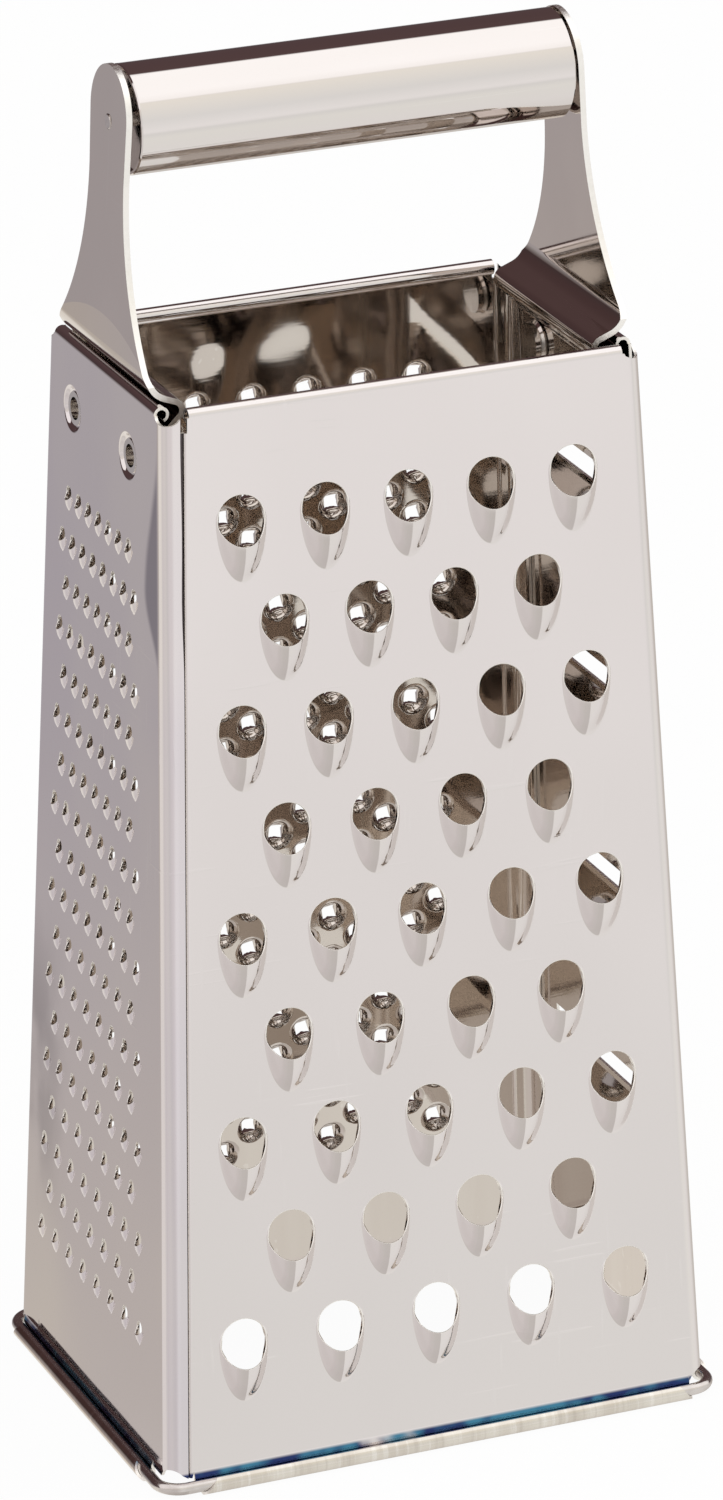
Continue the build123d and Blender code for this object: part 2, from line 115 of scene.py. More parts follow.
# Fine side
fine_rows = 18
fine_columns = 8
fine_top_drop = 26.2
fine_row_pitch = 7.83
fine_margin = 11.35
fine_shift = 1.5
fine_mouth_radius = 1.15
fine_peak = 0.75
fine_tail = 3.0
fine_soft = 0.14
fine_patch_margin = 0.4
fine_lip = 0.07
fine_spokes = 28

# Rasp side
rasp_rows = 34
rasp_columns = 7
rasp_top_drop = 18.9
rasp_row_pitch = 4.21
rasp_pitch = 9.85
rasp_shift = 0.9
rasp_dome_radius = 2.8
rasp_dome_height = 0.9
rasp_dome_run = 1.0
rasp_margin = 0.28
rasp_half_side = 1.72
rasp_square_power = 6.0
rasp_spin = 0.2
rasp_petal = 1.4
rasp_petal_lean = 0.12
petal_share = 0.3
petal_height_spread = (0.7, 1.15)
petal_point_power = 0.8
# Waves of the torn edge: how many, and how deep
petal_waves = ((9, 0.16), (17, 0.12))
rasp_variants = 7
rasp_spokes = 40

# Slicing side
slicer_count = 4
slicer_pitch = 36.0
slicer_lowest = 39.6
slicer_length = 42.0
slicer_opening = 6.0
slicer_ramp = 9.0
slicer_crest = 1.0
slicer_rise = 2.2
slicer_end_run = 3.0
slicer_soft = 0.3
slicer_margin = 1.4

# Rivet dishes
rivet_drop = 11.5
rivet_half_spacing = 12.6
rivet_shift = 1.4
dish_radius = 3.65
dish_floor_radius = 3.0
dish_depth = 0.7
dish_soft = 0.3
dish_margin = 0.8
dish_spokes = 48
dish_rings = 12
rivet_hole_radius = 2.3

# The seam opens in a wave near the rim
seam_open = 0.38
seam_shut_level = 138.0
seam_open_level = 156.0
seam_wave = 0.1
seam_wave_length = 34.0

# The skirt over the roll
skirt_bulge = 0.28
skirt_steps = 8
skirt_peak_share = 0.45
skirt_end_margin = 0.3
skirt_end_columns = 4

# The sweep of the brackets' feet
flare_height = 9.0
flare_bow = 12.0
flare_slope = 0.15

# Level above the rim from which a bracket's edge over the eye counts as cut
eye_cut_start = 10.0
eye_cut_full = 10.1

# Blue film, stains, and the painted shade beside the left panel's front corner: levels above the ground,
# widths and places along the panel
film_low = 3.1
film_high = 3.7
corner_shade_low = 138.0
corner_shade_middle = 153.0
corner_shade_high = 181.0
corner_shade_width = 5.0
corner_shade_depth = 0.9
corner_shade_strip_start = 1.9
corner_shade_strip_end = 2.8
corner_shade_fade = 2.2
far_stain_low = 20.0
far_stain_high = 86.0
far_stain_start = 8.0
far_stain_full = 28.0
far_stain_ramp = 0.4
far_stain_depth = 0.75

# Roll ends
roll_slant = 2.4
roll_slant_start_share = 0.45
overhang_least = 0.01

# Columns of a lapped corner that belong to its rounded shoulder
lap_shown_columns = 10

# How finely sheets are divided
bend_step = 7.5
side_rows = 48
edge_columns = 60
bow_share = 0.01
lip_steps = 3
shoulder_inner = 0.93
shoulder_outer = 1.09
shoulder_least = 0.06
shoulder_shares = (0.4, 0.88)
lift_fade = 0.6
cutting_lip_share = 0.25
cutting_edge_share = 0.3
cutting_edge_run = 0.15

SKIN, LINING, CUT, ROLL, LAP = range(5)


class Side:
    """One side of the body, as if it faced -Y."""

    def __init__(self, turn, foot_half, foot_reach, lean, edge_lean):
        self.turn = turn
        self.foot_half = foot_half
        self.foot_reach = foot_reach
        self.lean = lean
        self.edge_lean = edge_lean
        self.tilt = math.atan(lean)
        self.curl_at = (body_height - curl_radius + curl_radius * math.sin(self.tilt)) / math.cos(self.tilt)
        self.roll_at = (wire_height - foot_line - roll_inner * math.sin(self.tilt)) / math.cos(self.tilt)
        self.wall = sheet * math.cos(self.tilt)

    def half_at(self, height):
        return self.foot_half - self.edge_lean * (height - foot_line)

    def slope_at(self, height):
        return (height - foot_line) / math.cos(self.tilt)

    def placed(self, points):
        """Points over (across, up the slope, outwards) in the side's own room."""
        sine, cosine = math.sin(self.tilt), math.cos(self.tilt)
        across, up, out = np.moveaxis(np.asarray(points, float), -1, 0)
        y = up * sine - out * cosine - self.foot_reach
        z = up * cosine + out * sine + foot_line
        return np.stack([across, y, z], axis=-1)

    def aimed(self, vectors):
        """Directions over (across, up the slope, outwards) in the side's own room."""
        sine, cosine = math.sin(self.tilt), math.cos(self.tilt)
        across, up, out = np.moveaxis(np.asarray(vectors, float), -1, 0)
        return np.stack([across, up * sine - out * cosine, up * cosine + out * sine], axis=-1)


front_side = Side(0, foot_width / 2, foot_depth / 2, face_lean, side_lean)
right_side = Side(90, foot_depth / 2, foot_width / 2, side_lean, face_lean)
back_side = Side(180, foot_width / 2, foot_depth / 2, face_lean, side_lean)
left_side = Side(270, foot_depth / 2, foot_width / 2, side_lean, face_lean)


def unit(vectors):
    return vectors / np.linalg.norm(vectors, axis=-1, keepdims=True)


def rounded_path(corners, radii):
    """An open outline with rounded corners, as points and unit headings."""
    corners = [np.array(corner, float) for corner in corners]
    points, headings = [corners[0]], [unit(corners[1] - corners[0])]
    for before, corner, after, radius in zip(corners, corners[1:], corners[2:], radii):
        come, go = unit(corner - before), unit(after - corner)
        turn = math.atan2(come[0] * go[1] - come[1] * go[0], come @ go)
        start = corner - come * radius * math.tan(abs(turn) / 2)
        centre = start + np.array([-come[1], come[0]]) * radius * np.sign(turn)
        steps = max(2, math.ceil(math.degrees(abs(turn)) / bend_step))
        for angle in np.linspace(0, turn, steps + 1):
            sine, cosine = math.sin(angle), math.cos(angle)
            spin = np.array([[cosine, -sine], [sine, cosine]])
            points.append(centre + spin @ (start - centre))
            headings.append(spin @ come)
    points.append(corners[-1])
    headings.append(unit(corners[-1] - corners[-2]))
    return np.array(points), np.array(headings)


def corner_path(wraps):
    """The level section of a right-hand corner, from the end of the flat face on."""
    if wraps:
        path, headings = rounded_path(
            [(-corner_radius - seam_gap, 0), (0, 0), (0, corner_radius + wrap_strip)], [corner_radius])
    else:
        inset = sheet + seam_clearance
        step_in = corner_radius + wrap_strip + seam_gap
        start = step_in + seam_step_run
        path, headings = rounded_path(
            [(-start - 2 * seam_step_radius, 0), (-start, 0), (-step_in, inset), (-inset, inset),
             (-inset, corner_radius + lap_flange)],
            [seam_step_radius, lap_step_radius, corner_radius - inset])
    return path[1:], headings[1:]


def bore_height(path, radius):
    """How far above its axis a bore along the corner's diagonal reaches over a level section."""
    beside = (path[:, 0] + path[:, 1]) / math.sqrt(2)
    return np.sqrt(np.maximum(radius**2 - beside**2, 0))


class Skin:
    """The outer skin of a sheet, collected in the side's own room."""

    def __init__(self, side):
        self.side = side
        self.points = []
        self.normals = []
        self.inner = []
        self.places = []
        self.blocks = []
        self.count = 0

    def add(self, points, normals, places=None, inner=None):
        """New points; those on the flat sheet also give their places over (across, up)."""
        points = np.asarray(points, float).reshape(-1, 3)
        normals = unit(np.broadcast_to(normals, points.shape))
        first = self.count
        self.points.append(points)
        self.normals.append(normals)
        self.inner.append(points - normals * self.side.wall if inner is None else inner)
        self.places.append(np.zeros((len(points), 2)) if places is None else places)
        self.count += len(points)
        return np.arange(first, self.count)

    def add_flat(self, places):
        """New points on the flat sheet, from places over (across, up)."""
        places = np.asarray(places, float).reshape(-1, 2)
        flat = np.concatenate([places, np.zeros((len(places), 1))], axis=1)
        return self.add(self.side.placed(flat), self.side.aimed((0.0, 0.0, 1.0)), places)

    def fill(self, faces, kind):
        self.blocks.append((np.asarray(faces), kind))

    def strip(self, index, kind):
        """Quads over a grid of point numbers."""
        corners = (index[:-1, :-1], index[1:, :-1], index[1:, 1:], index[:-1, 1:])
        self.fill(np.stack(corners, axis=-1).reshape(-1, 4), kind)


def facing(points, faces):
    """The direction that each face looks in, not yet of unit length."""
    a, b, c = (points[faces[:, k]] for k in (0, 1, -1))
    return np.cross(b - a, c - a)


def thicken(skin):
    """Both faces of a sheet and its cut edges: points, blocks of faces and their corner normals."""
    points = np.concatenate(skin.points)
    normals = np.concatenate(skin.normals)
    count = len(points)
    inner = np.concatenate(skin.inner)
    inner[:, 2] = np.maximum(inner[:, 2], 0)
    blocks = []
    starts, ends = [], []
    for faces, kind in skin.blocks:
        wrong = (facing(points, faces) * normals[faces].sum(axis=1)).sum(axis=1) < 0
        faces = np.where(wrong[:, None], faces[:, ::-1], faces)
        lining = faces[:, ::-1] + count
        blocks.append((faces, normals[faces], kind))
        blocks.append((lining, -normals[faces[:, ::-1]], LINING if kind in (SKIN, LAP) else kind))
        starts.append(faces.ravel())
        ends.append(np.roll(faces, -1, axis=1).ravel())
    start, end = np.concatenate(starts), np.concatenate(ends)
    free = ~np.isin(start * count + end, end * count + start)
    start, end = start[free], end[free]
    rims = np.stack([end, start, start + count, end + count], axis=-1)
    both = np.concatenate([points, inner])
    across = facing(both, rims)
    across /= np.maximum(np.linalg.norm(across, axis=1, keepdims=True), 1e-12)
    blocks.append((rims, np.repeat(across[:, None], 4, axis=1), CUT))
    return both, blocks


def turned(points, degrees):
    sine, cosine = math.sin(math.radians(degrees)), math.cos(math.radians(degrees))
    x, y, z = np.moveaxis(np.asarray(points, float), -1, 0)
    return np.stack([x * cosine - y * sine, x * sine + y * cosine, z], axis=-1)


def make_mesh(name, points, blocks, materials):
    """A piece with its own corner normals, from points in millimetres."""
    mesh = bpy.data.meshes.new(name)
    corners = np.concatenate([faces.ravel() for faces, _, _ in blocks]).astype(np.int32)
    sizes = np.concatenate([np.full(len(faces), faces.shape[1]) for faces, _, _ in blocks]).astype(np.int32)
    kinds = np.concatenate([np.full(len(faces), kind) for faces, _, kind in blocks]).astype(np.int32)
    mesh.vertices.add(len(points))
    mesh.loops.add(len(corners))
    mesh.polygons.add(len(sizes))
    mesh.vertices.foreach_set("co", (points * mm).astype(np.float32).ravel())
    mesh.loops.foreach_set("vertex_index", corners)
    mesh.polygons.foreach_set("loop_start", np.concatenate([[0], np.cumsum(sizes)[:-1]]).astype(np.int32))
    mesh.polygons.foreach_set("material_index", kinds)
    mesh.update(calc_edges=True)
    for material in materials:
        mesh.materials.append(material)
    normals = np.concatenate([given.reshape(-1, 3) for _, given, _ in blocks])
    mesh.normals_split_custom_set(normals.tolist())
    piece = bpy.data.objects.new(name, mesh)
    bpy.context.scene.collection.objects.link(piece)
    return piece


class Patch:
    """A punched place: points over (across, up, out), their normals, quads and outer loop.

    Where the hole has a rounded lip, its first rings are the lip's, in quads of their own."""

    def __init__(self, points, normals, inner, faces, lip_faces, loop):
        self.points = points
        self.normals = normals
        self.inner = inner
        self.faces = faces
        self.lip_faces = lip_faces
        self.loop = loop


def lip_rings(edge, normals, inward, radius):
    """A quarter round from the sheet into a hole: points, normals and how far in each point is."""
    angles = np.radians(np.linspace(90.0, 0.0, lip_steps + 1))[:-1]
    sine, cosine = np.sin(angles)[:, None], np.cos(angles)[:, None]
    reach = inward[:, None] * radius[:, None, None] * sine
    points = edge[:, None] + reach - normals[:, None] * radius[:, None, None] * (1 - cosine)
    return points, normals[:, None] * cosine + inward[:, None] * sine, edge[:, None] + reach


def spoke_patch(shape, spokes, shares, lip=None, edge_share=None):
    """A patch on spokes round a hole. shape(angle, share) runs from the hole to the flat sheet.

    lip(angle) is the radius of the hole's rounded lip, and edge_share(angle) how thick the sheet is there."""
    angles = np.linspace(0, 2 * math.pi, spokes, endpoint=False)
    angle, share = np.meshgrid(angles, np.asarray(shares, float), indexing="ij")
    small = 1e-4
    points = shape(angle, share)
    along = shape(angle + small, share) - shape(angle - small, share)
    outward = shape(angle, share + small) - shape(angle, share - small)
    normals = np.cross(outward, along)
    lengths = np.linalg.norm(normals, axis=-1, keepdims=True)
    normals = np.where(lengths > 0, normals / np.maximum(lengths, 1e-12), (0.0, 0.0, 1.0))
    normals[:, -1] = (0.0, 0.0, 1.0)
    rings = 0
    inner = points - normals * sheet
    if lip:
        thin = (1 - edge_share(angle)) * np.maximum(1 - share / cutting_edge_run, 0)
        inner = points - normals * sheet * (1 - thin)[..., None]
        inward = -unit(outward[:, 0])
        lip_points, lip_normals, foot = lip_rings(points[:, 0], normals[:, 0], inward, lip(angles))
        thickness = np.maximum(sheet * edge_share(angles), lip(angles) + overhang_least)[:, None, None]
        lip_inner = foot - normals[:, :1] * thickness
        points = np.concatenate([lip_points, points], axis=1)
        normals = np.concatenate([lip_normals, normals], axis=1)
        inner = np.concatenate([lip_inner, inner], axis=1)
        rings = lip_steps
    index = np.arange(points.shape[0] * points.shape[1]).reshape(points.shape[:2])
    ring = np.concatenate([index, index[:1]])
    quads = np.stack([ring[:-1, :-1], ring[:-1, 1:], ring[1:, 1:], ring[1:, :-1]], axis=-1)
    return Patch(points.reshape(-1, 3), normals.reshape(-1, 3), inner.reshape(-1, 3),
                 quads[:, rings:].reshape(-1, 4), quads[:, :rings].reshape(-1, 4), index[:, -1])


def soft_rise(height, blend):
    """A height that meets zero in a soft fillet instead of a crease."""
    return np.where(height > blend, height, np.maximum(height + blend, 0) ** 2 / (4 * blend))


def scoop_height(x, y, mouth_radius, peak, tail, blend):
    """The raised lip below a round mouth."""
    radius = (mouth_radius**2 / peak + peak) / 2
    sunk = radius - peak
    stretch = np.where(y < 0, mouth_radius / tail, 1.0)
    inside = np.maximum(radius**2 - x**2 - (y * stretch) ** 2, 0)
    return soft_rise(np.sqrt(inside) - sunk, blend)


def scoop_patch(mouth_radius, peak, tail, blend, margin, spokes, shares, lip):
    """A round mouth over its raised lip, with most rings where the lip meets the flat sheet."""
    start = mouth_radius + lip / 2
    reach = mouth_radius + margin

    def run_to(angle, size):
        """How far along its spoke the lip's outline lies, grown to the given size."""
        way = np.stack([np.cos(angle), np.sin(angle)])
        below = way[1] < 0
        ends = np.stack([np.full_like(angle, reach), np.where(below, tail + margin, reach)])
        axes = np.stack([np.full_like(angle, mouth_radius), np.where(below, tail, mouth_radius)])
        grow, first = way * (ends - start) / axes, way * start / axes
        a, b, c = (grow**2).sum(axis=0), (grow * first).sum(axis=0), (first**2).sum(axis=0) - size**2
        return (np.sqrt(np.maximum(b**2 - a * c, 0)) - b) / a

    def shape(angle, share):
        near = np.maximum(run_to(angle, shoulder_inner), shoulder_least)
        far = np.maximum(run_to(angle, shoulder_outer), near + shoulder_least)
        first, last = shoulder_shares
        middle = near + (far - near) * (share - first) / (last - first)
        outer = far + (1 - far) * (share - last) / (1 - last)
        run = np.where(share < first, near * share / first, np.where(share < last, middle, outer))
        down = np.where(np.sin(angle) < 0, tail + margin, reach)
        x = np.cos(angle) * (start + (reach - start) * run)
        y = np.sin(angle) * (start + (down - start) * run)
        out = scoop_height(x, y, mouth_radius, peak, tail, blend)
        out = out * smooth_share(1 - y / (mouth_radius * lift_fade))
        return np.stack([x, y, out], axis=-1)

    def upper(angle, low):
        return low + (1 - low) * smooth_share((np.sin(angle) + 0.4) / 0.7)

    return spoke_patch(shape, spokes, shares, lambda angle: lip * upper(angle, cutting_lip_share),
                       lambda angle: upper(angle, cutting_edge_share))


def smooth_share(value):
    """From 0 to 1 with level ends."""
    value = np.clip(value, 0, 1)
    return value * value * (3 - 2 * value)


def dish_patch():
    """A shallow round dish with a hole in its floor, for a rivet."""
    reach = dish_radius + dish_margin

    def shape(angle, share):
        radius = rivet_hole_radius + (reach - rivet_hole_radius) * share
        wall_share = (radius - dish_floor_radius) / (dish_radius - dish_floor_radius + dish_soft)
        out = -dish_depth * (1 - smooth_share(wall_share))
        return np.stack([radius * np.cos(angle), radius * np.sin(angle), out], axis=-1)

    return spoke_patch(shape, dish_spokes, np.linspace(0, 1, dish_rings))


def burst_patch(seed):
    """A low dome burst open by a square punch, with four torn petals."""
    draw = np.random.default_rng(seed)
    lift = draw.uniform(*petal_height_spread, 4)
    waves = draw.uniform(0, 2 * math.pi, 3)
    spin = draw.uniform(-rasp_spin, rasp_spin)
    reach = rasp_dome_radius + rasp_margin

    def shape(angle, share):
        own = angle - spin
        across, up = np.abs(np.cos(own)), np.abs(np.sin(own))
        power = rasp_square_power
        mouth = rasp_half_side / (across**power + up**power) ** (1 / power)
        quarter = np.floor(np.mod(own + math.pi / 4, 2 * math.pi) / (math.pi / 2)).astype(int) % 4
        middle = 1 - np.minimum(across, up) / np.maximum(across, up)
        jag = 1
        for (number, depth), phase in zip(petal_waves, waves):
            jag = jag + depth * np.sin(number * own + phase)
        petal = rasp_petal * lift[quarter] * middle**petal_point_power * jag
        fall = np.clip((share - petal_share) / (1 - petal_share), 0, 1)
        torn = np.clip(1 - share / petal_share, 0, 1)
        radius = mouth + (reach - mouth) * fall + rasp_petal_lean * petal * torn
        dome = rasp_dome_height * smooth_share((rasp_dome_radius - radius) / rasp_dome_run)
        out = dome + petal * torn
        return np.stack([radius * np.cos(angle), radius * np.sin(angle), out], axis=-1)

    shares = np.concatenate([np.linspace(0, petal_share, 4)[:-1], np.linspace(petal_share, 1, 9)])
    return spoke_patch(shape, rasp_spokes, shares)


def blade_height(across, up):
    """The raised blade below its slot."""
    lift = np.minimum((up + slicer_ramp) / (slicer_ramp - slicer_crest), 1)
    lift = np.minimum(lift, (slicer_length / 2 - np.abs(across)) / slicer_end_run)
    return np.where(up <= 0, soft_rise(slicer_rise * lift, slicer_soft), 0.0)


def blade_patch():
    """A slot and the long blade below it, on a grid."""
    half = slicer_length / 2
    margin = slicer_margin
    ends = np.concatenate([np.linspace(half - slicer_end_run - 0.5, half + 0.5, 9), [half + margin]])
    ends = np.unique(np.concatenate([ends, [half]]))
    xs = np.concatenate([-ends[::-1], np.linspace(-ends[0], ends[0], 17)[1:-1], ends])
    ys = np.concatenate([
        [-slicer_ramp - margin], np.linspace(-slicer_ramp - 0.5, -slicer_ramp + 0.5, 5),
        np.linspace(-slicer_ramp + 1, -slicer_crest - 0.5, 5), np.linspace(-slicer_crest - 0.2, 0, 5),
        np.linspace(0, slicer_opening, 5)[1:], [slicer_opening + margin],
    ])
    x, y = np.meshgrid(xs, ys, indexing="ij")
    small = 1e-3
    out = blade_height(x, y)
    slope_x = (blade_height(x + small, y) - blade_height(x - small, y)) / (2 * small)
    slope_y = (blade_height(x, np.minimum(y, 0)) - blade_height(x, np.minimum(y, 0) - small)) / small
    slope_y = np.where((y > 0) | (np.abs(x) >= half), 0.0, slope_y)
    normals = np.stack([-slope_x, -slope_y, np.ones_like(out)], axis=-1)
    index = np.arange(x.size).reshape(x.shape)
    middle_x = (xs[:-1] + xs[1:]) / 2
    middle_y = (ys[:-1] + ys[1:]) / 2
    hole = (np.abs(middle_x)[:, None] < half) & (middle_y > 0) & (middle_y < slicer_opening)
    quads = np.stack([index[:-1, :-1], index[1:, :-1], index[1:, 1:], index[:-1, 1:]], axis=-1)[~hole]
    loop = np.concatenate([index[:-1, 0], index[-1, :-1], index[:0:-1, -1], index[0, :0:-1]])
    points = np.stack([x, y, out], axis=-1).reshape(-1, 3)
    normals = unit(normals.reshape(-1, 3))
    return Patch(points, normals, points - normals * sheet, quads, quads[:0], loop)


def spread(side, columns, rows, full_first, top_drop, row_pitch, half_span, shift):
    """Places in rows that hold one more and one fewer by turns."""
    places = []
    for row in range(rows):
        height = rim_height - top_drop - row * row_pitch
        step = 2 * half_span(height) / (columns - 1)
        count = columns if (row % 2 == 0) == full_first else columns - 1
        for column in range(count):
            places.append(((column - (count - 1) / 2) * step + shift, side.slope_at(height)))
    return places


def inside(polygon, points):
    """Which points lie inside a closed polygon."""
    found = np.zeros(len(points), bool)
    for a, b in zip(polygon, np.roll(polygon, -1, axis=0)):
        if a[1] == b[1]:
            continue
        spans = (a[1] > points[:, 1]) != (b[1] > points[:, 1])
        cross = (b[0] - a[0]) * (points[:, 1] - a[1]) / (b[1] - a[1]) + a[0]
        found ^= spans & (points[:, 0] < cross)
    return found


def bow(chain, way):
    """A closed chain with its straight runs bowed, so that no triangle lies along one."""
    centre = (chain.min(axis=0) + chain.max(axis=0)) / 2
    arms = chain - centre
    reach = np.linalg.norm(arms, axis=1, keepdims=True)
    return centre + arms * (1 + way * bow_share * (1 - (reach / reach.max()) ** 2))


def fill_flat(skin, outline, loops):
    """Triangles over the flat sheet, between its outline and the punched places."""
    chains = [outline, *loops]
    numbers = np.concatenate(chains)
    owner = np.repeat(np.arange(len(chains)), [len(chain) for chain in chains])
    edges = []
    first = 0
    for chain in chains:
        last = first + len(chain) - 1
        edges += [(k, k + 1) for k in range(first, last)] + [(last, first)]
        first = last + 1
    flat = np.concatenate(skin.places)[numbers]
    splits = np.cumsum([len(chain) for chain in chains])[:-1]
    flat = np.concatenate([bow(part, -1 if k == 0 else 1) for k, part in enumerate(np.split(flat, splits))])
    made = delaunay_2d_cdt([Vector(place) for place in flat], edges, [], 0, 1e-6)
    origin = np.array([ids[0] for ids in made[3]])
    triangles = origin[np.array(made[2])]
    owners = owner[triangles]
    same = (owners[:, 0] == owners[:, 1]) & (owners[:, 1] == owners[:, 2]) & (owners[:, 0] > 0)
    keep = ~same & inside(flat[:len(outline)], flat[triangles].mean(axis=1))
    skin.fill(numbers[triangles[keep]], SKIN)


def corner_edges(side, path, wraps):
    """The lowest and highest level of each line of a corner, from its foot arch to its rim notch."""
    curl_height = foot_line + side.curl_at * math.cos(side.tilt)
    arch_centre = foot_line - foot_arch_radius + foot_arch_rise
    low = np.maximum(skirt_low, arch_centre + bore_height(path, foot_arch_radius))
    if wraps:
        return low, curl_height - bore_height(path, rim_notch_radius) * rim_notch_depth / rim_notch_radius
    return low, np.full(len(path), rim_height - 2 * curl_radius - rim_notch_depth)


def flat_edge(side, spots, mirrored):
    """Places on the flat sheet, from spots over (distance from the corner, level)."""
    spots = np.asarray(spots, float).reshape(-1, 2)
    across = side.half_at(spots[:, 1]) + spots[:, 0]
    return np.stack([-across if mirrored else across, side.slope_at(spots[:, 1])], axis=-1)


def add_corner(skin, wraps, setback, mirrored):
    """A corner and the flat sheet's edge beside it, from the roll up to the curl."""
    side = skin.side
    path, headings = corner_path(wraps)
    low, high = corner_edges(side, path, wraps)
    rows = np.linspace(0, 1, side_rows + 1)[:, None]
    level = low + rows * (high - low)
    x = side.half_at(level) + path[:, 0]
    y = path[:, 1] - side.foot_reach + side.lean * (level - foot_line)
    points = np.stack([x, y, level], axis=-1)
    if wraps:
        last_level = level[:, 0]
        opening = smooth_share((last_level - seam_shut_level) / (seam_open_level - seam_shut_level))
        wave = 1 + seam_wave / seam_open * np.sin(2 * math.pi * last_level / seam_wave_length)
        points[:, -1, 1] -= seam_open * opening * wave
    tilt = headings[:, 0] * side.lean + headings[:, 1] * side.edge_lean
    normals = np.broadcast_to(np.stack([headings[:, 1], -headings[:, 0], tilt], axis=-1), points.shape)
    if mirrored:
        points, normals = points * (-1, 1, 1), normals * (-1, 1, 1)
    face_end = path[0, 0]
    column = skin.add_flat(flat_edge(side, [(face_end, z) for z in level[:, 0]], mirrored))
    others = skin.add(points[:, 1:], normals[:, 1:].reshape(-1, 3)).reshape(len(rows), -1)
    columns = np.concatenate([column[:, None], others], axis=1)
    shown = len(path) if wraps else lap_shown_columns
    skin.strip(columns[:, :shown], SKIN)
    if not wraps:
        # The hidden lap takes the painted shadow of the seam's gap
        skin.strip(columns[:, shown - 1:], LAP)
    arch_centre = foot_line - foot_arch_radius + foot_arch_rise
    foot_spots = []
    foot_start = skirt_gap - setback
    spots = round(max(face_end - foot_start, 0) / foot_spot_step)
    for away in np.linspace(foot_start, face_end, spots + 1)[:-1]:
        rise = math.sqrt(foot_arch_radius**2 - min(away**2 / 2, foot_arch_radius**2))
        foot_spots.append((away, max(skirt_low, arch_centre + rise)))
    curl_height = foot_line + side.curl_at * math.cos(side.tilt)
    notch_reach = rim_notch_radius * math.sqrt(2)
    rim_spots = []
    if wraps:
        for away in np.linspace(face_end, -notch_reach, 5)[1:]:
            drop = math.sqrt(max(rim_notch_radius**2 - away**2 / 2, 0)) * rim_notch_depth / rim_notch_radius
            rim_spots.append((away, curl_height - drop))
    else:
        rim_spots.append((face_end, curl_height))
    foot = skin.add_flat(flat_edge(side, foot_spots, mirrored))
    rim = skin.add_flat(flat_edge(side, rim_spots, mirrored))
    curl_start = curl_setback - min(face_end, -notch_reach if wraps else face_end)
    return np.concatenate([foot, column, rim]), curl_start


def add_curl(skin, left_start, right_start):
    """The curl along the rim. Gives the points where it joins the flat sheet."""
    side = skin.side
    half = side.half_at(rim_height)
    across = np.linspace(left_start - half, half - right_start, edge_columns + 1)
    joint = skin.add_flat(np.stack([across, np.full(len(across), side.curl_at)], axis=-1))
    angles = np.radians(90.0 - np.arange(1, round(curl_sweep / bend_step) + 1) * bend_step)[:, None]
    up = side.curl_at + curl_radius * np.cos(angles)
    out = curl_radius * (np.sin(angles) - 1)
    grid = np.stack(np.broadcast_arrays(across, up, out), axis=-1)
    aims = np.stack(np.broadcast_arrays(0 * across, np.cos(angles), np.sin(angles)), axis=-1)
    rest = skin.add(side.placed(grid), side.aimed(aims).reshape(-1, 3)).reshape(len(angles), -1)
    skin.strip(np.concatenate([joint[None], rest]), SKIN)
    return joint


def skirt_out(share):
    """How far the skirt stands out, from the roll at 0 to the flat sheet at 1."""
    rising = smooth_share(share / skirt_peak_share)
    falling = smooth_share((1 - share) / (1 - skirt_peak_share))
    return skirt_bulge * np.where(share < skirt_peak_share, rising, falling)


def add_skirt(skin, across):
    """The slightly swelled band over the roll. Gives its highest and lowest points."""
    side = skin.side
    share = np.linspace(1, 0, skirt_steps + 1)[:, None]
    small = 1e-3
    rise = side.slope_at(foot_line) - side.roll_at
    slope = (skirt_out(share + small) - skirt_out(share - small)) / (2 * small * rise)
    up = side.roll_at + rise * share
    grid = np.stack(np.broadcast_arrays(across, up, skirt_out(share)), axis=-1)
    aims = np.stack(np.broadcast_arrays(0 * across, -slope, 1.0), axis=-1)
    top = skin.add_flat(grid[0, :, :2])
    rest = skin.add(side.placed(grid[1:]), side.aimed(aims[1:]).reshape(-1, 3)).reshape(skirt_steps, -1)
    skin.strip(np.concatenate([top[None], rest]), SKIN)
    return top, rest[-1]


def add_roll(skin, setbacks, skirt_setbacks):
    """The roll round the foot wire, and the skirt over it. Gives where they join the sheet."""
    side = skin.side
    half = side.half_at(foot_line)
    start, end = setbacks[0] - half, half - setbacks[1]
    shares = np.linspace(0, 1, edge_columns + 1)
    before, after = np.zeros(0), np.zeros(0)
    if skirt_setbacks[0] < setbacks[0]:
        before = np.linspace(skirt_setbacks[0] - half, start, skirt_end_columns + 1)[:-1]
    if skirt_setbacks[1] < setbacks[1]:
        after = np.linspace(end, half - skirt_setbacks[1], skirt_end_columns + 1)[1:]
    top, bottom = add_skirt(skin, np.concatenate([before, start + (end - start) * shares, after]))
    joint = bottom[len(before):len(before) + len(shares)]
    steps = round(roll_sweep / bend_step)
    turn = np.arange(1, steps + 1)[:, None] / steps
    angles = np.radians(-90.0 - roll_sweep * turn)
    slant = roll_slant * np.maximum(turn - roll_slant_start_share, 0) / (1 - roll_slant_start_share)
    across = start + slant + (end - start - 2 * slant) * shares
    up = side.roll_at + roll_inner * np.cos(angles)
    out = roll_inner * (1 + np.sin(angles))
    grid = np.stack(np.broadcast_arrays(across, up, out), axis=-1)
    aims = np.stack(np.broadcast_arrays(0 * across, -np.cos(angles), -np.sin(angles)), axis=-1)
    rest = skin.add(side.placed(grid), side.aimed(aims).reshape(-1, 3)).reshape(steps, -1)
    skin.strip(np.concatenate([joint[None], rest]), ROLL)
    return top


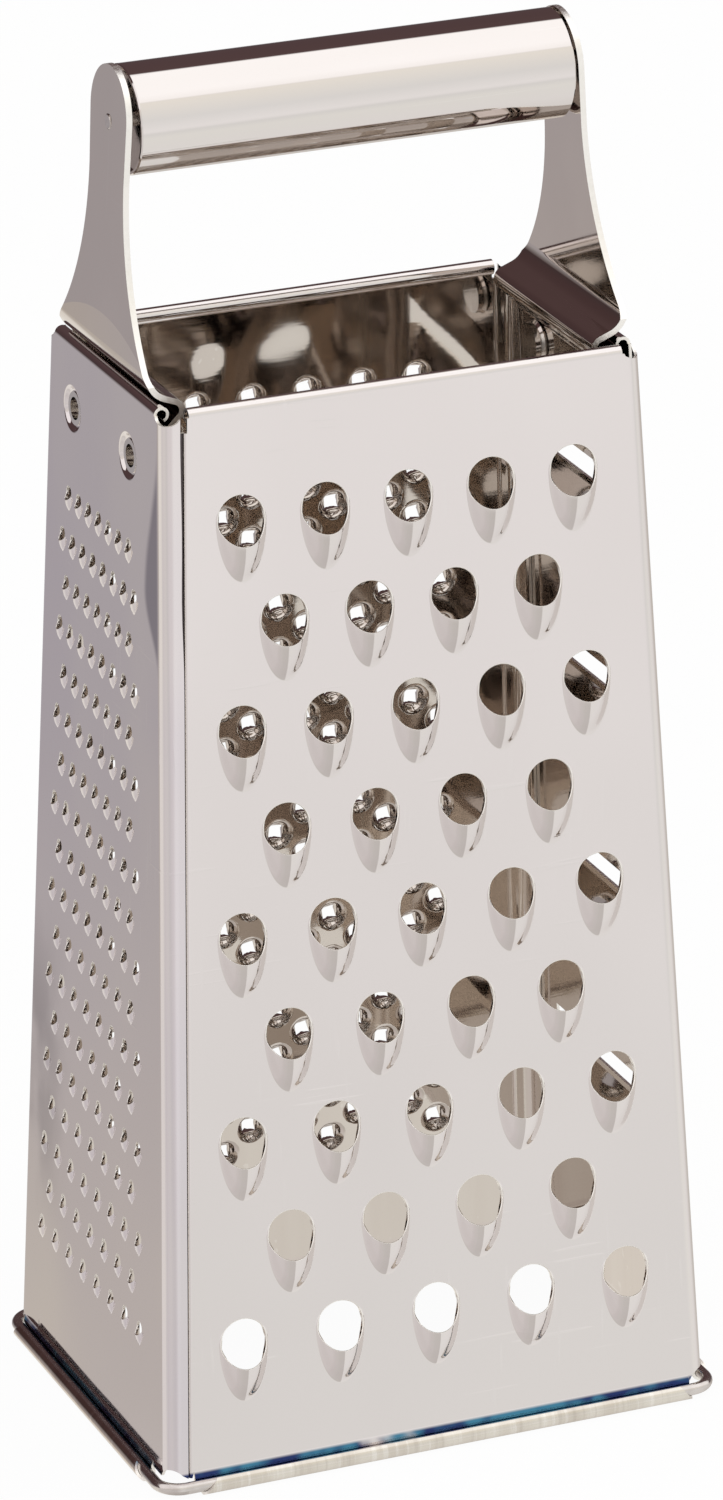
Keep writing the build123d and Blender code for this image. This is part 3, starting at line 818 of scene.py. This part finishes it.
def make_panel(name, side, wraps, seams, punches, materials):
    """A whole panel of the body, built as one bent and punched sheet."""
    skin = Skin(side)
    setbacks, skirt_setbacks = [], []
    for wrapped, seam in zip(wraps, seams):
        face_end = -corner_path(wrapped)[0][0, 0]
        setback = wire_bend_radius - roll_inner + roll_end_margin
        if seam:
            setback = roll_seam_setback if wrapped else lapped_roll_setback
        setbacks.append(max(setback, face_end + overhang_least))
        lapped_seam = seam and not wrapped
        skirt_setbacks.append(face_end + skirt_end_margin if lapped_seam else setbacks[-1])
    left_edge, left_start = add_corner(skin, wraps[0], skirt_setbacks[0], True)
    right_edge, right_start = add_corner(skin, wraps[1], skirt_setbacks[1], False)
    curl = add_curl(skin, left_start, right_start)
    roll = add_roll(skin, setbacks, skirt_setbacks)
    outline = np.concatenate([roll, right_edge, curl[::-1], left_edge[::-1]])
    loops = []
    for patches, places in punches:
        for number, (across, up) in enumerate(places):
            patch = patches[number % len(patches)]
            spot = (across, up, 0)
            moved = patch.points + spot
            ids = skin.add(side.placed(moved), side.aimed(patch.normals), moved[:, :2],
                           side.placed(patch.inner + spot))
            skin.fill(ids[patch.faces], SKIN)
            if len(patch.lip_faces):
                # The holes' lips take the cut-edge steel, painted pale as their highlight
                skin.fill(ids[patch.lip_faces], CUT)
            loops.append(ids[patch.loop])
    fill_flat(skin, outline, loops)
    points, blocks = thicken(skin)
    points = turned(points, side.turn)
    blocks = [(faces, turned(normals, side.turn), kind) for faces, normals, kind in blocks]
    panel = make_mesh(name + "_sheet", points, blocks, materials)
    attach(panel, "frame")
    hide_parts(name)
    return panel


def rivet_spots(side, shift):
    up = side.slope_at(rim_height - rivet_drop)
    return [(shift - rivet_half_spacing, up), (shift + rivet_half_spacing, up)]


def front_panel(materials):
    """The coarse side."""
    places = spread(front_side, coarse_columns, coarse_rows, True, coarse_top_drop,
                    coarse_row_pitch, lambda height: front_side.half_at(height) - coarse_margin, 0.0)
    shares = np.concatenate([[0.0, 0.05, 0.13, 0.22, 0.31], np.linspace(*shoulder_shares, 11), [1.0]])
    patch = scoop_patch(coarse_mouth_radius, coarse_peak, coarse_tail, coarse_soft,
                        coarse_patch_margin, coarse_spokes, shares, coarse_lip)
    return make_panel("front_panel", front_side, (False, True), (True, False), [([patch], places)], materials)


def left_panel(materials):
    """The fine side, with the dishes of the left bracket's rivets."""
    places = spread(left_side, fine_columns, fine_rows, False, fine_top_drop, fine_row_pitch,
                    lambda height: left_side.half_at(height) - fine_margin, -fine_shift)
    shares = np.concatenate([[0.0, 0.13, 0.27], np.linspace(*shoulder_shares, 5), [1.0]])
    patch = scoop_patch(fine_mouth_radius, fine_peak, fine_tail, fine_soft,
                        fine_patch_margin, fine_spokes, shares, fine_lip)
    dishes = rivet_spots(left_side, -rivet_shift)
    return make_panel("left_panel", left_side, (True, True), (False, True),
                      [([patch], places), ([dish_patch()], dishes)], materials)


def back_panel(materials):
    """The rasp side."""
    places = spread(back_side, rasp_columns, rasp_rows, False, rasp_top_drop, rasp_row_pitch,
                    lambda height: rasp_pitch * (rasp_columns - 1) / 2, rasp_shift)
    bursts = [burst_patch(seed) for seed in range(rasp_variants)]
    return make_panel("back_panel", back_side, (False, False), (False, True), [(bursts, places)], materials)


def right_panel(materials):
    """The slicing side, with the dishes of the right bracket's rivets."""
    heights = [foot_line + slicer_lowest + index * slicer_pitch for index in range(slicer_count)]
    slots = [(0.0, right_side.slope_at(height)) for height in heights]
    dishes = rivet_spots(right_side, rivet_shift)
    return make_panel("right_panel", right_side, (False, True), (False, True),
                      [([blade_patch()], slots), ([dish_patch()], dishes)], materials)


class Graph:
    """A short way to write node trees."""

    def __init__(self, owner):
        owner.use_nodes = True
        self.tree = owner.node_tree
        self.tree.nodes.clear()

    def add(self, kind, inputs=None, **settings):
        node = self.tree.nodes.new(kind)
        for key, value in settings.items():
            setattr(node, key, value)
        for key, value in (inputs or {}).items():
            self.put(node.inputs[key], value)
        return node

    def put(self, socket, value):
        if isinstance(value, bpy.types.NodeSocket):
            self.tree.links.new(value, socket)
        elif isinstance(value, bpy.types.Node):
            self.tree.links.new(value.outputs[0], socket)
        else:
            socket.default_value = value

    def math(self, operation, a, b=0.0):
        return self.add("ShaderNodeMath", {0: a, 1: b}, operation=operation).outputs[0]

    def times(self, a, b):
        return self.math("MULTIPLY", a, b)

    def plus(self, a, b):
        return self.math("ADD", a, b)

    def minus(self, a, b):
        return self.math("SUBTRACT", a, b)

    def between(self, value, low, high, start=0.0, end=1.0):
        """A smooth change from start to end as the value goes from low to high."""
        node = self.add("ShaderNodeMapRange", {0: value, 1: low, 2: high, 3: start, 4: end},
                        interpolation_type="SMOOTHSTEP")
        return node.outputs[0]

    def ramp(self, value, stops, smooth=True):
        node = self.add("ShaderNodeValToRGB", {0: value})
        ramp = node.color_ramp
        ramp.interpolation = "EASE" if smooth else "LINEAR"
        while len(ramp.elements) < len(stops):
            ramp.elements.new(0.5)
        for element, (place, colour) in zip(ramp.elements, stops):
            element.position = place
            element.color = (*colour, 1.0)
        return node.outputs[0]

    def mix(self, share, a, b, blend="MIX"):
        node = self.add("ShaderNodeMix", data_type="RGBA", blend_type=blend)
        self.put(node.inputs[0], share)
        for socket, value in ((node.inputs[6], a), (node.inputs[7], b)):
            self.put(socket, (*value, 1.0) if isinstance(value, tuple) and len(value) == 3 else value)
        return node.outputs[2]

    def place(self):
        return self.add("ShaderNodeTexCoord").outputs["Object"]

    def parts(self, vector):
        """The x, y and z of a vector."""
        return self.add("ShaderNodeSeparateXYZ", {0: vector}).outputs

    def noise(self, scale, detail=2.0, turn=0.0, roughness=0.5):
        """Noise over the object's own coordinates, with its own scale along each axis."""
        vector = self.add("ShaderNodeMapping", {
            0: self.place(), "Rotation": (turn, turn, turn), "Scale": scale})
        node = self.add("ShaderNodeTexNoise", {
            "Vector": vector, "Scale": 1.0, "Detail": detail, "Roughness": roughness})
        return node.outputs[0]

    def even_noise(self, scale, detail=2.0):
        """Noise with the same scale along every axis."""
        return self.noise((scale, scale, scale), detail)

    def hairlines(self, scale, turn, low):
        """Thin scratches: the peaks of stretched noise."""
        return self.between(self.noise(scale, 1.0, turn), low, low + 0.05)

    def bump(self, height, depth, normal=None):
        inputs = {"Height": height, "Distance": depth, "Strength": 1.0}
        if normal is not None:
            inputs["Normal"] = normal
        return self.add("ShaderNodeBump", inputs).outputs[0]

    def metal(self, colour, roughness, normal):
        return self.add("ShaderNodeBsdfPrincipled", {
            "Base Color": colour, "Metallic": 1.0, "Roughness": roughness, "Normal": normal}).outputs[0]

    def finish(self, surface):
        self.add("ShaderNodeOutputMaterial", {"Surface": surface})


def make_camera():
    """The camera that took the photograph."""
    data = bpy.data.cameras.new("camera")
    data.lens = camera_lens
    data.sensor_width = sensor_long_side
    data.clip_start = 0.05
    data.clip_end = 50.0
    camera = bpy.data.objects.new("camera", data)
    bpy.context.scene.collection.objects.link(camera)
    turn = Euler((math.radians(90.0 - camera_pitch), 0.0, math.radians(-camera_yaw))).to_matrix().to_4x4()
    roll = Matrix.Rotation(math.radians(camera_roll), 4, "Z")
    camera.matrix_world = Matrix.Translation(camera_place) @ turn @ roll
    bpy.context.scene.camera = camera


# Studio light by direction. The angle is zero at the horizon in front and grows over the top
# to the horizon behind, and is negative below the horizon
STUDIO_ZONES = (
    (-180.0, (0.12, 0.090, 0.090)),
    (-170.0, (0.36, 0.34, 0.35)),
    (-165.0, (0.48, 0.455, 0.480)),
    (-159.0, (0.50, 0.470, 0.490)),
    (-155.0, (0.62, 0.575, 0.530)),
    (-130.0, (0.70, 0.67, 0.64)),
    (-100.0, (0.86, 0.84, 0.82)),
    (-60.0, (0.95, 0.94, 0.93)),
    (-30.0, (0.96, 0.96, 0.93)),
    (-20.5, (0.89, 0.89, 0.88)),
    (-17.0, (0.99, 0.98, 0.98)),
    (-14.0, (1.02, 1.01, 1.01)),
    (8.0, (0.92, 0.92, 0.91)),
    (43.0, (1.04, 1.01, 0.94)),
    (45.2, (1.02, 0.99, 0.93)),
    (45.8, (0.78, 0.75, 0.71)),
    (46.6, (1.24, 1.22, 1.21)),
    (60.0, (1.32, 1.31, 1.31)),
    (114.5, (1.32, 1.31, 1.31)),
    (117.5, (0.11, 0.068, 0.068)),
    (165.0, (0.10, 0.062, 0.064)),
    (180.0, (0.085, 0.060, 0.062)),
)
# Below the horizon the studio is up to three tenths darker along part of its width
LEFT_SHADE = (
    (0.0, (1.0, 1.0, 1.0)),
    (0.25, (0.96, 0.95, 0.95)),
    (0.45, (0.73, 0.71, 0.70)),
    (0.63, (0.71, 0.69, 0.68)),
    (0.64, (1.0, 1.0, 1.0)),
    (1.0, (1.0, 1.0, 1.0)),
)


# Shades over those zones. Angles are in degrees and the rest are shares of a unit direction
STEEP_RANGE = (-0.60, -0.45)
FAR_LEFT_RANGE = (-0.45, -0.05)
FAR_LEFT_ANGLES = (-100.0, -80.0)
FAR_LEFT_TONE = (0.86, 0.835, 0.84)
GLOW_START_ANGLES = (-154.0, -151.5)
GLOW_END_ANGLES = (-120.0, -110.0)
GLOW_EDGE_RANGE = (0.14, 0.24)
GLOW_TONE = (0.96, 0.93, 0.88)


def radians_of(angles):
    return [math.radians(angle) for angle in angles]


def studio_light():
    """A studio that is white to the camera only. The metal sees bands of light by direction,

    fitted to the photograph: a ceiling brighter than white, over a dark back wall."""
    world = bpy.data.worlds.new("studio")
    bpy.context.scene.world = world
    graph = Graph(world)
    x, y, z = graph.parts(graph.add("ShaderNodeTexCoord").outputs["Generated"])
    angle = graph.math("ARCTAN2", z, graph.times(y, -1.0))
    share = graph.plus(graph.math("DIVIDE", angle, 2 * math.pi), 0.5)
    stops = [((degrees + 180.0) / 360.0, colour) for degrees, colour in STUDIO_ZONES]
    zones = graph.ramp(share, stops, smooth=False)
    shade = graph.ramp(graph.plus(graph.math("DIVIDE", x, 2.0), 0.5), LEFT_SHADE, smooth=False)
    steep = graph.between(z, *STEEP_RANGE, 1.0, 0.0)
    zones = graph.mix(steep, zones, graph.mix(1.0, zones, shade, "MULTIPLY"))
    in_front = graph.between(angle, *radians_of(FAR_LEFT_ANGLES))
    far_left = graph.times(graph.between(x, *FAR_LEFT_RANGE, 1.0, 0.0), in_front)
    zones = graph.mix(far_left, zones, graph.mix(1.0, zones, FAR_LEFT_TONE, "MULTIPLY"))
    low_glow = graph.between(angle, *radians_of(GLOW_START_ANGLES))
    glow_end = graph.between(angle, *radians_of(GLOW_END_ANGLES), 1.0, 0.0)
    leftward = graph.between(x, *GLOW_EDGE_RANGE, 1.0, 0.0)
    low_glow = graph.times(graph.times(low_glow, glow_end), leftward)
    zones = graph.mix(low_glow, zones, GLOW_TONE)
    seen = graph.add("ShaderNodeLightPath")
    colour = graph.mix(seen.outputs["Is Camera Ray"], zones, background_white)
    background = graph.add("ShaderNodeBackground", {"Color": colour, "Strength": 1.0})
    graph.add("ShaderNodeOutputWorld", {"Surface": background.outputs[0]})


def floor_material():
    """White paper. It glows so much that the object's shadow on it is too faint to see.

    It is clear to glossy rays, so the metal shows the studio's own light in its place."""
    material = bpy.data.materials.new("floor_paper")
    graph = Graph(material)
    grain = graph.between(graph.even_noise(300.0), 0.3, 0.7, 0.88, 0.92)
    tone = graph.add("ShaderNodeCombineColor", {0: grain, 1: grain, 2: grain}).outputs[0]
    paper = graph.add("ShaderNodeBsdfDiffuse", {"Color": tone})
    glow = graph.add("ShaderNodeEmission", {"Color": background_white, "Strength": 1.0})
    seen = graph.add("ShaderNodeLightPath")
    plain = graph.math("MAXIMUM", seen.outputs["Is Camera Ray"], seen.outputs["Is Transmission Ray"])
    share = graph.times(plain, floor_glow)
    surface = graph.add("ShaderNodeMixShader", {0: share, 1: paper.outputs[0], 2: glow.outputs[0]})
    clear = graph.add("ShaderNodeBsdfTransparent")
    surface = graph.add("ShaderNodeMixShader", {
        0: seen.outputs["Is Glossy Ray"], 1: surface.outputs[0], 2: clear.outputs[0]})
    graph.finish(surface.outputs[0])
    return material


def make_floor():
    """A flat sheet of paper under the object."""
    steps = np.linspace(-floor_half, floor_half, floor_steps + 1)
    points = [(x, y, floor_level) for y in steps for x in steps]
    row = floor_steps + 1
    faces = []
    for j in range(floor_steps):
        for i in range(floor_steps):
            first = j * row + i
            faces.append((first, first + 1, first + row + 1, first + row))
    mesh = bpy.data.meshes.new("floor")
    mesh.from_pydata(points, [], faces)
    floor = bpy.data.objects.new("floor", mesh)
    bpy.context.scene.collection.objects.link(floor)
    mesh.materials.append(floor_material())


def new_material(name):
    material = bpy.data.materials.new(name)
    return material, Graph(material)


def cut_metal(graph, dark, pale):
    """The grainy metal of a sheared edge, in the pale tones given, which paint its highlight."""
    grain = graph.even_noise(1500.0, 3.0)
    tone = graph.mix(grain, dark, pale)
    return graph.metal(tone, graph.between(grain, 0.3, 0.7, 0.30, 0.45), graph.bump(grain, 0.00002))


def scratches(graph):
    """Hairline scratches in three directions, in some places only."""
    rising = graph.hairlines((900.0, 900.0, 40.0), 0.5, 0.68)
    falling = graph.hairlines((800.0, 700.0, 50.0), -0.8, 0.70)
    level = graph.hairlines((40.0, 40.0, 1100.0), 0.15, 0.70)
    lines = graph.math("MAXIMUM", graph.math("MAXIMUM", rising, falling), level)
    return graph.times(lines, graph.between(graph.even_noise(30.0), 0.45, 0.65))


def sheet_steel(name, pale, dull, cloud_low=0.35, stained_and_shaded=False):
    """Bright rolled sheet with faint clouds and hairlines. Blue film is left along the foot."""
    material, graph = new_material(name)
    clouds = graph.between(graph.noise((16.0, 16.0, 9.0), 3.0), cloud_low, cloud_low + 0.3)
    streaks = graph.noise((160.0, 160.0, 10.0), 3.0)
    lines = scratches(graph)
    colour = graph.mix(clouds, dull, pale)
    colour = graph.mix(graph.between(streaks, 0.3, 0.7, 0.0, 0.05), colour, dull)
    colour = graph.mix(graph.times(lines, 0.06), colour, (0.95, 0.94, 0.93))
    # On the left panel: a painted shade beside the front corner, and stains towards the back edge
    if stained_and_shaded:
        colour = graph.mix(corner_shade(graph), colour, (0.27, 0.245, 0.275))
        colour = graph.mix(far_stain(graph), colour, (0.36, 0.33, 0.35))
    colour = foot_film(graph, colour)
    cloud_roughness = graph.between(clouds, 0.0, 1.0, 0.075, 0.05)
    roughness = graph.plus(cloud_roughness, graph.times(lines, 0.08))
    swell = graph.bump(graph.noise((22.0, 22.0, 14.0), 1.0), 0.0005)
    normal = graph.bump(lines, 0.000006, swell)
    graph.finish(graph.metal(colour, roughness, normal))
    return material


def foot_film(graph, colour):
    """What is left of a blue film, along the foot."""
    height = graph.parts(graph.place())[2]
    low = graph.between(height, film_low * mm, film_high * mm, 1.0, 0.0)
    patches = graph.between(graph.noise((70.0, 70.0, 60.0), 3.0), 0.30, 0.42)
    blue = graph.mix(graph.between(graph.even_noise(150.0, 2.0), 0.4, 0.6),
                     (0.025, 0.040, 0.14), (0.06, 0.22, 0.34))
    return graph.mix(graph.times(low, patches), colour, blue)


def corner_shade(graph):
    """Painted shade: a dark band beside the left panel's front corner, widest below the rim."""
    _, y, z = graph.parts(graph.place())
    level = graph.times(graph.minus(z, foot_line * mm), face_lean)
    edge = graph.minus(foot_depth / 2 * mm, level)
    away = graph.plus(edge, y)
    wander = graph.between(graph.even_noise(25.0, 2.0), 0.3, 0.7, 0.6, 1.4)
    rising = graph.between(z, corner_shade_low * mm, corner_shade_middle * mm)
    falling = graph.between(z, corner_shade_middle * mm, corner_shade_high * mm, 1.0, 0.0)
    reach = graph.times(graph.times(rising, falling), corner_shade_width * mm)
    reach = graph.times(reach, wander)
    gap = graph.minus(away, graph.plus(reach, corner_radius * mm))
    beside = graph.between(away, corner_shade_strip_start * mm, corner_shade_strip_end * mm)
    return graph.times(graph.between(gap, -corner_shade_fade * mm, 0.0, corner_shade_depth, 0.0), beside)


def far_stain(graph):
    """Smoky blotches towards the left panel's back edge, below its middle."""
    _, y, z = graph.parts(graph.place())
    span = far_stain_high - far_stain_low
    rising = graph.between(z, far_stain_low * mm, (far_stain_low + span * far_stain_ramp) * mm)
    falling = graph.between(z, (far_stain_high - span * far_stain_ramp) * mm, far_stain_high * mm, 1.0, 0.0)
    across = graph.between(y, far_stain_start * mm, far_stain_full * mm)
    blotches = graph.between(graph.noise((60.0, 60.0, 45.0), 3.0), 0.35, 0.62)
    share = graph.times(graph.times(rising, falling), across)
    return graph.times(share, graph.times(blotches, far_stain_depth))


def shaded_lining_steel():
    """The inside of the sheets, with drawn streaks, painted darker and browner than the outside as shade for
    the dim inside.
    """
    material, graph = new_material("shaded_lining_steel")
    streaks = graph.noise((120.0, 120.0, 8.0), 4.0)
    specks = graph.between(graph.noise((700.0, 700.0, 500.0), 2.0), 0.68, 0.74)
    # Painted shade: the inside's tones are darker and browner than the outer skin's
    colour = graph.mix(graph.between(streaks, 0.3, 0.7), (0.60, 0.54, 0.49), (0.64, 0.585, 0.535))
    colour = graph.mix(graph.times(specks, 0.2), colour, (0.85, 0.82, 0.78))
    roughness = graph.between(streaks, 0.35, 0.75, 0.04, 0.07)
    normal = graph.bump(graph.noise((38.0, 38.0, 26.0), 1.0), 0.0005)
    normal = graph.bump(graph.noise((90.0, 90.0, 900.0), 2.0), 0.000004, normal)
    graph.finish(graph.metal(colour, roughness, normal))
    return material


def cut_steel():
    """Sheared edges, grainy and painted pale as their highlight."""
    material, graph = new_material("cut_steel")
    graph.finish(cut_metal(graph, (0.86, 0.82, 0.76), (0.97, 0.95, 0.91)))
    return material


def roll_steel(name, pale, dull, along_x, ridge, filmed=False):
    """The roll along the foot, marked across by the tool that bent it."""
    material, graph = new_material(name)
    scale = (900.0, 60.0, 60.0) if along_x else (60.0, 900.0, 60.0)
    wide = (160.0, 20.0, 20.0) if along_x else (20.0, 160.0, 20.0)
    ridges = graph.noise(scale, 2.0)
    worn = graph.noise(wide, 3.0)
    colour = graph.mix(graph.between(worn, 0.35, 0.65), dull, pale)
    colour = graph.mix(graph.between(ridges, 0.55, 0.70, 0.0, 0.35), colour, (0.90, 0.88, 0.84))
    colour = graph.mix(graph.between(ridges, 0.30, 0.45, 0.18, 0.0), colour, (0.30, 0.26, 0.23))
    if filmed:
        inward = graph.parts(graph.add("ShaderNodeTexCoord").outputs["Normal"])[0]
        blue = graph.mix(graph.between(graph.noise((60.0, 130.0, 60.0), 3.0), 0.50, 0.62),
                         (0.018, 0.018, 0.035), (0.02, 0.06, 0.30))
        colour = graph.mix(graph.between(inward, -0.30, -0.10), colour, blue)
    roughness = graph.between(ridges, 0.3, 0.7, 0.08, 0.14)
    normal = graph.bump(ridges, ridge)
    graph.finish(graph.metal(colour, roughness, normal))
    return material


def lap_shadow_steel():
    """The sheet under the seams, painted dark as the shadow in the seams' gaps."""
    material, graph = new_material("lap_shadow_steel")
    dirt = graph.noise((200.0, 200.0, 60.0), 3.0)
    colour = graph.mix(dirt, (0.05, 0.04, 0.045), (0.14, 0.12, 0.12))
    graph.finish(graph.metal(colour, graph.between(dirt, 0.3, 0.7, 0.35, 0.5), graph.bump(dirt, 0.00001)))
    return material


def drawn_steel(name, colour, along_x=True, low=0.14, high=0.26):
    """Drawn wire and rod, with fine lines along it."""
    material, graph = new_material(name)
    scale = (25.0, 1400.0, 1400.0) if along_x else (500.0, 500.0, 500.0)
    lines = graph.noise(scale, 2.0)
    tone = graph.mix(graph.between(lines, 0.3, 0.7, 0.0, 0.25), colour, (0.40, 0.36, 0.34))
    graph.finish(graph.metal(tone, graph.between(lines, 0.3, 0.7, low, high), graph.bump(lines, 0.000008)))
    return material


def polished_steel(name, pale, dull):
    """The polished tube, with faint clouds along it."""
    material, graph = new_material(name)
    clouds = graph.noise((10.0, 60.0, 60.0), 3.0)
    lines = graph.hairlines((14.0, 1600.0, 1600.0), 0.02, 0.70)
    colour = graph.mix(graph.between(clouds, 0.35, 0.65), dull, pale)
    colour = graph.mix(graph.times(lines, 0.08), colour, (0.93, 0.92, 0.90))
    roughness = graph.plus(graph.between(clouds, 0.3, 0.7, 0.03, 0.05), graph.times(lines, 0.05))
    graph.finish(graph.metal(colour, roughness, graph.bump(lines, 0.000003)))
    return material


def foot_flare(graph):
    """A slight outward sweep of the brackets' feet, as a height."""
    x, y, z = graph.parts(graph.place())
    bow = graph.times(graph.times(y, y), flare_bow)
    top = graph.minus((rim_height + flare_height) * mm, bow)
    below = graph.math("MINIMUM", graph.minus(z, top), 0.0)
    facing_x = graph.parts(graph.add("ShaderNodeTexCoord").outputs["Normal"])[0]
    outer = graph.math("GREATER_THAN", graph.times(x, facing_x), 0.0)
    return graph.times(graph.times(below, flare_slope), outer)


def bracket_steel():
    """Bracket sheet: polished faces, and cut edges that face along the depth or over the eye."""
    material, graph = new_material("bracket_steel")
    clouds = graph.noise((40.0, 40.0, 25.0), 3.0)
    lines = scratches(graph)
    colour = graph.mix(graph.between(clouds, 0.35, 0.65), (0.625, 0.565, 0.520), (0.655, 0.595, 0.545))
    colour = graph.mix(graph.times(lines, 0.05), colour, (0.93, 0.92, 0.90))
    roughness = graph.plus(graph.between(clouds, 0.3, 0.7, 0.05, 0.09), graph.times(lines, 0.03))
    swell = graph.bump(graph.noise((30.0, 30.0, 20.0), 1.0), 0.0002)
    flare = graph.bump(foot_flare(graph), 1.0, swell)
    face = graph.metal(colour, roughness, graph.bump(lines, 0.000001, flare))
    # The bracket's cut edges, painted pale as their highlight
    edge = cut_metal(graph, (0.86, 0.83, 0.78), (0.97, 0.95, 0.92))
    normal = graph.add("ShaderNodeTexCoord").outputs["Normal"]
    across, along, _ = graph.parts(normal)
    height = graph.parts(graph.place())[2]
    high = graph.between(height, (rim_height + eye_cut_start) * mm, (rim_height + eye_cut_full) * mm)
    level = graph.between(graph.math("ABSOLUTE", across), 0.40, 0.45, 1.0, 0.0)
    side_on = graph.between(graph.math("ABSOLUTE", along), 0.55, 0.60)
    cut = graph.math("MAXIMUM", side_on, graph.times(high, level))
    graph.finish(graph.add("ShaderNodeMixShader", {0: cut, 1: face, 2: edge}).outputs[0])
    return material


def pressed_steel(name, pale, dull):
    """Small pressed pieces, lightly pitted."""
    material, graph = new_material(name)
    pits = graph.even_noise(900.0, 3.0)
    colour = graph.mix(pits, dull, pale)
    graph.finish(graph.metal(colour, graph.between(pits, 0.3, 0.7, 0.07, 0.12), graph.bump(pits, 0.000001)))
    return material


def dress_nodes(materials):
    """A material for every CAD node. The panels keep theirs under the sheets that replace them."""
    for name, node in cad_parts.items():
        node.data.materials.clear()
        node.data.materials.append(materials[name])


make_camera()
bpy.context.scene.view_settings.view_transform = "Standard"
studio_light()
make_floor()

pale_sheet = sheet_steel("pale_sheet_steel", (0.755, 0.713, 0.695), (0.735, 0.692, 0.675))
cloudy_sheet = sheet_steel("cloudy_sheet_steel", (0.76, 0.715, 0.69), (0.69, 0.645, 0.665), 0.38)
# The left panel's sheet: stains, and a painted shade beside its front corner
stained_shaded_sheet = sheet_steel(
    "stained_shaded_sheet_steel", (0.76, 0.715, 0.69), (0.69, 0.645, 0.665), 0.38, stained_and_shaded=True)
lining = shaded_lining_steel()
cut_edge = cut_steel()
# One steel for all three rolls, in tones painted by side: the left roll darker and browner as shade, the
# front roll paler as light
front_roll = roll_steel("front_roll_steel", (0.72, 0.68, 0.61), (0.62, 0.57, 0.50), True, 0.000006)
left_roll = roll_steel(
    "left_roll_steel", (0.60, 0.52, 0.45), (0.50, 0.42, 0.36), False, 0.000003, filmed=True)
right_roll = roll_steel("right_roll_steel", (0.64, 0.57, 0.51), (0.52, 0.45, 0.40), False, 0.000006)
# Painted shadow for the sheet under the seams
lap_shadow = lap_shadow_steel()
bracket = bracket_steel()
rivet = pressed_steel("rivet_steel", (0.72, 0.69, 0.66), (0.58, 0.55, 0.52))
cap = pressed_steel("cap_steel", (0.66, 0.62, 0.59), (0.54, 0.50, 0.47))
dress_nodes({
    "front_panel": pale_sheet,
    "left_panel": stained_shaded_sheet,
    "back_panel": pale_sheet,
    "right_panel": cloudy_sheet,
    "base_wire": drawn_steel("wire_steel", (0.66, 0.62, 0.59), along_x=False),
    "left_handle_bracket": bracket,
    "right_handle_bracket": bracket,
    "left_rivets": rivet,
    "right_rivets": rivet,
    "handle_rod": drawn_steel("rod_steel", (0.60, 0.56, 0.53)),
    "handle_tube": polished_steel("tube_steel", (0.75, 0.71, 0.69), (0.73, 0.69, 0.665)),
    "handle_left_cap": cap,
    "handle_right_cap": cap,
})
front_panel([pale_sheet, lining, cut_edge, front_roll, lap_shadow])
left_panel([stained_shaded_sheet, lining, cut_edge, left_roll, lap_shadow])
back_panel([pale_sheet, lining, cut_edge, front_roll, lap_shadow])
right_panel([cloudy_sheet, lining, cut_edge, right_roll, lap_shadow])
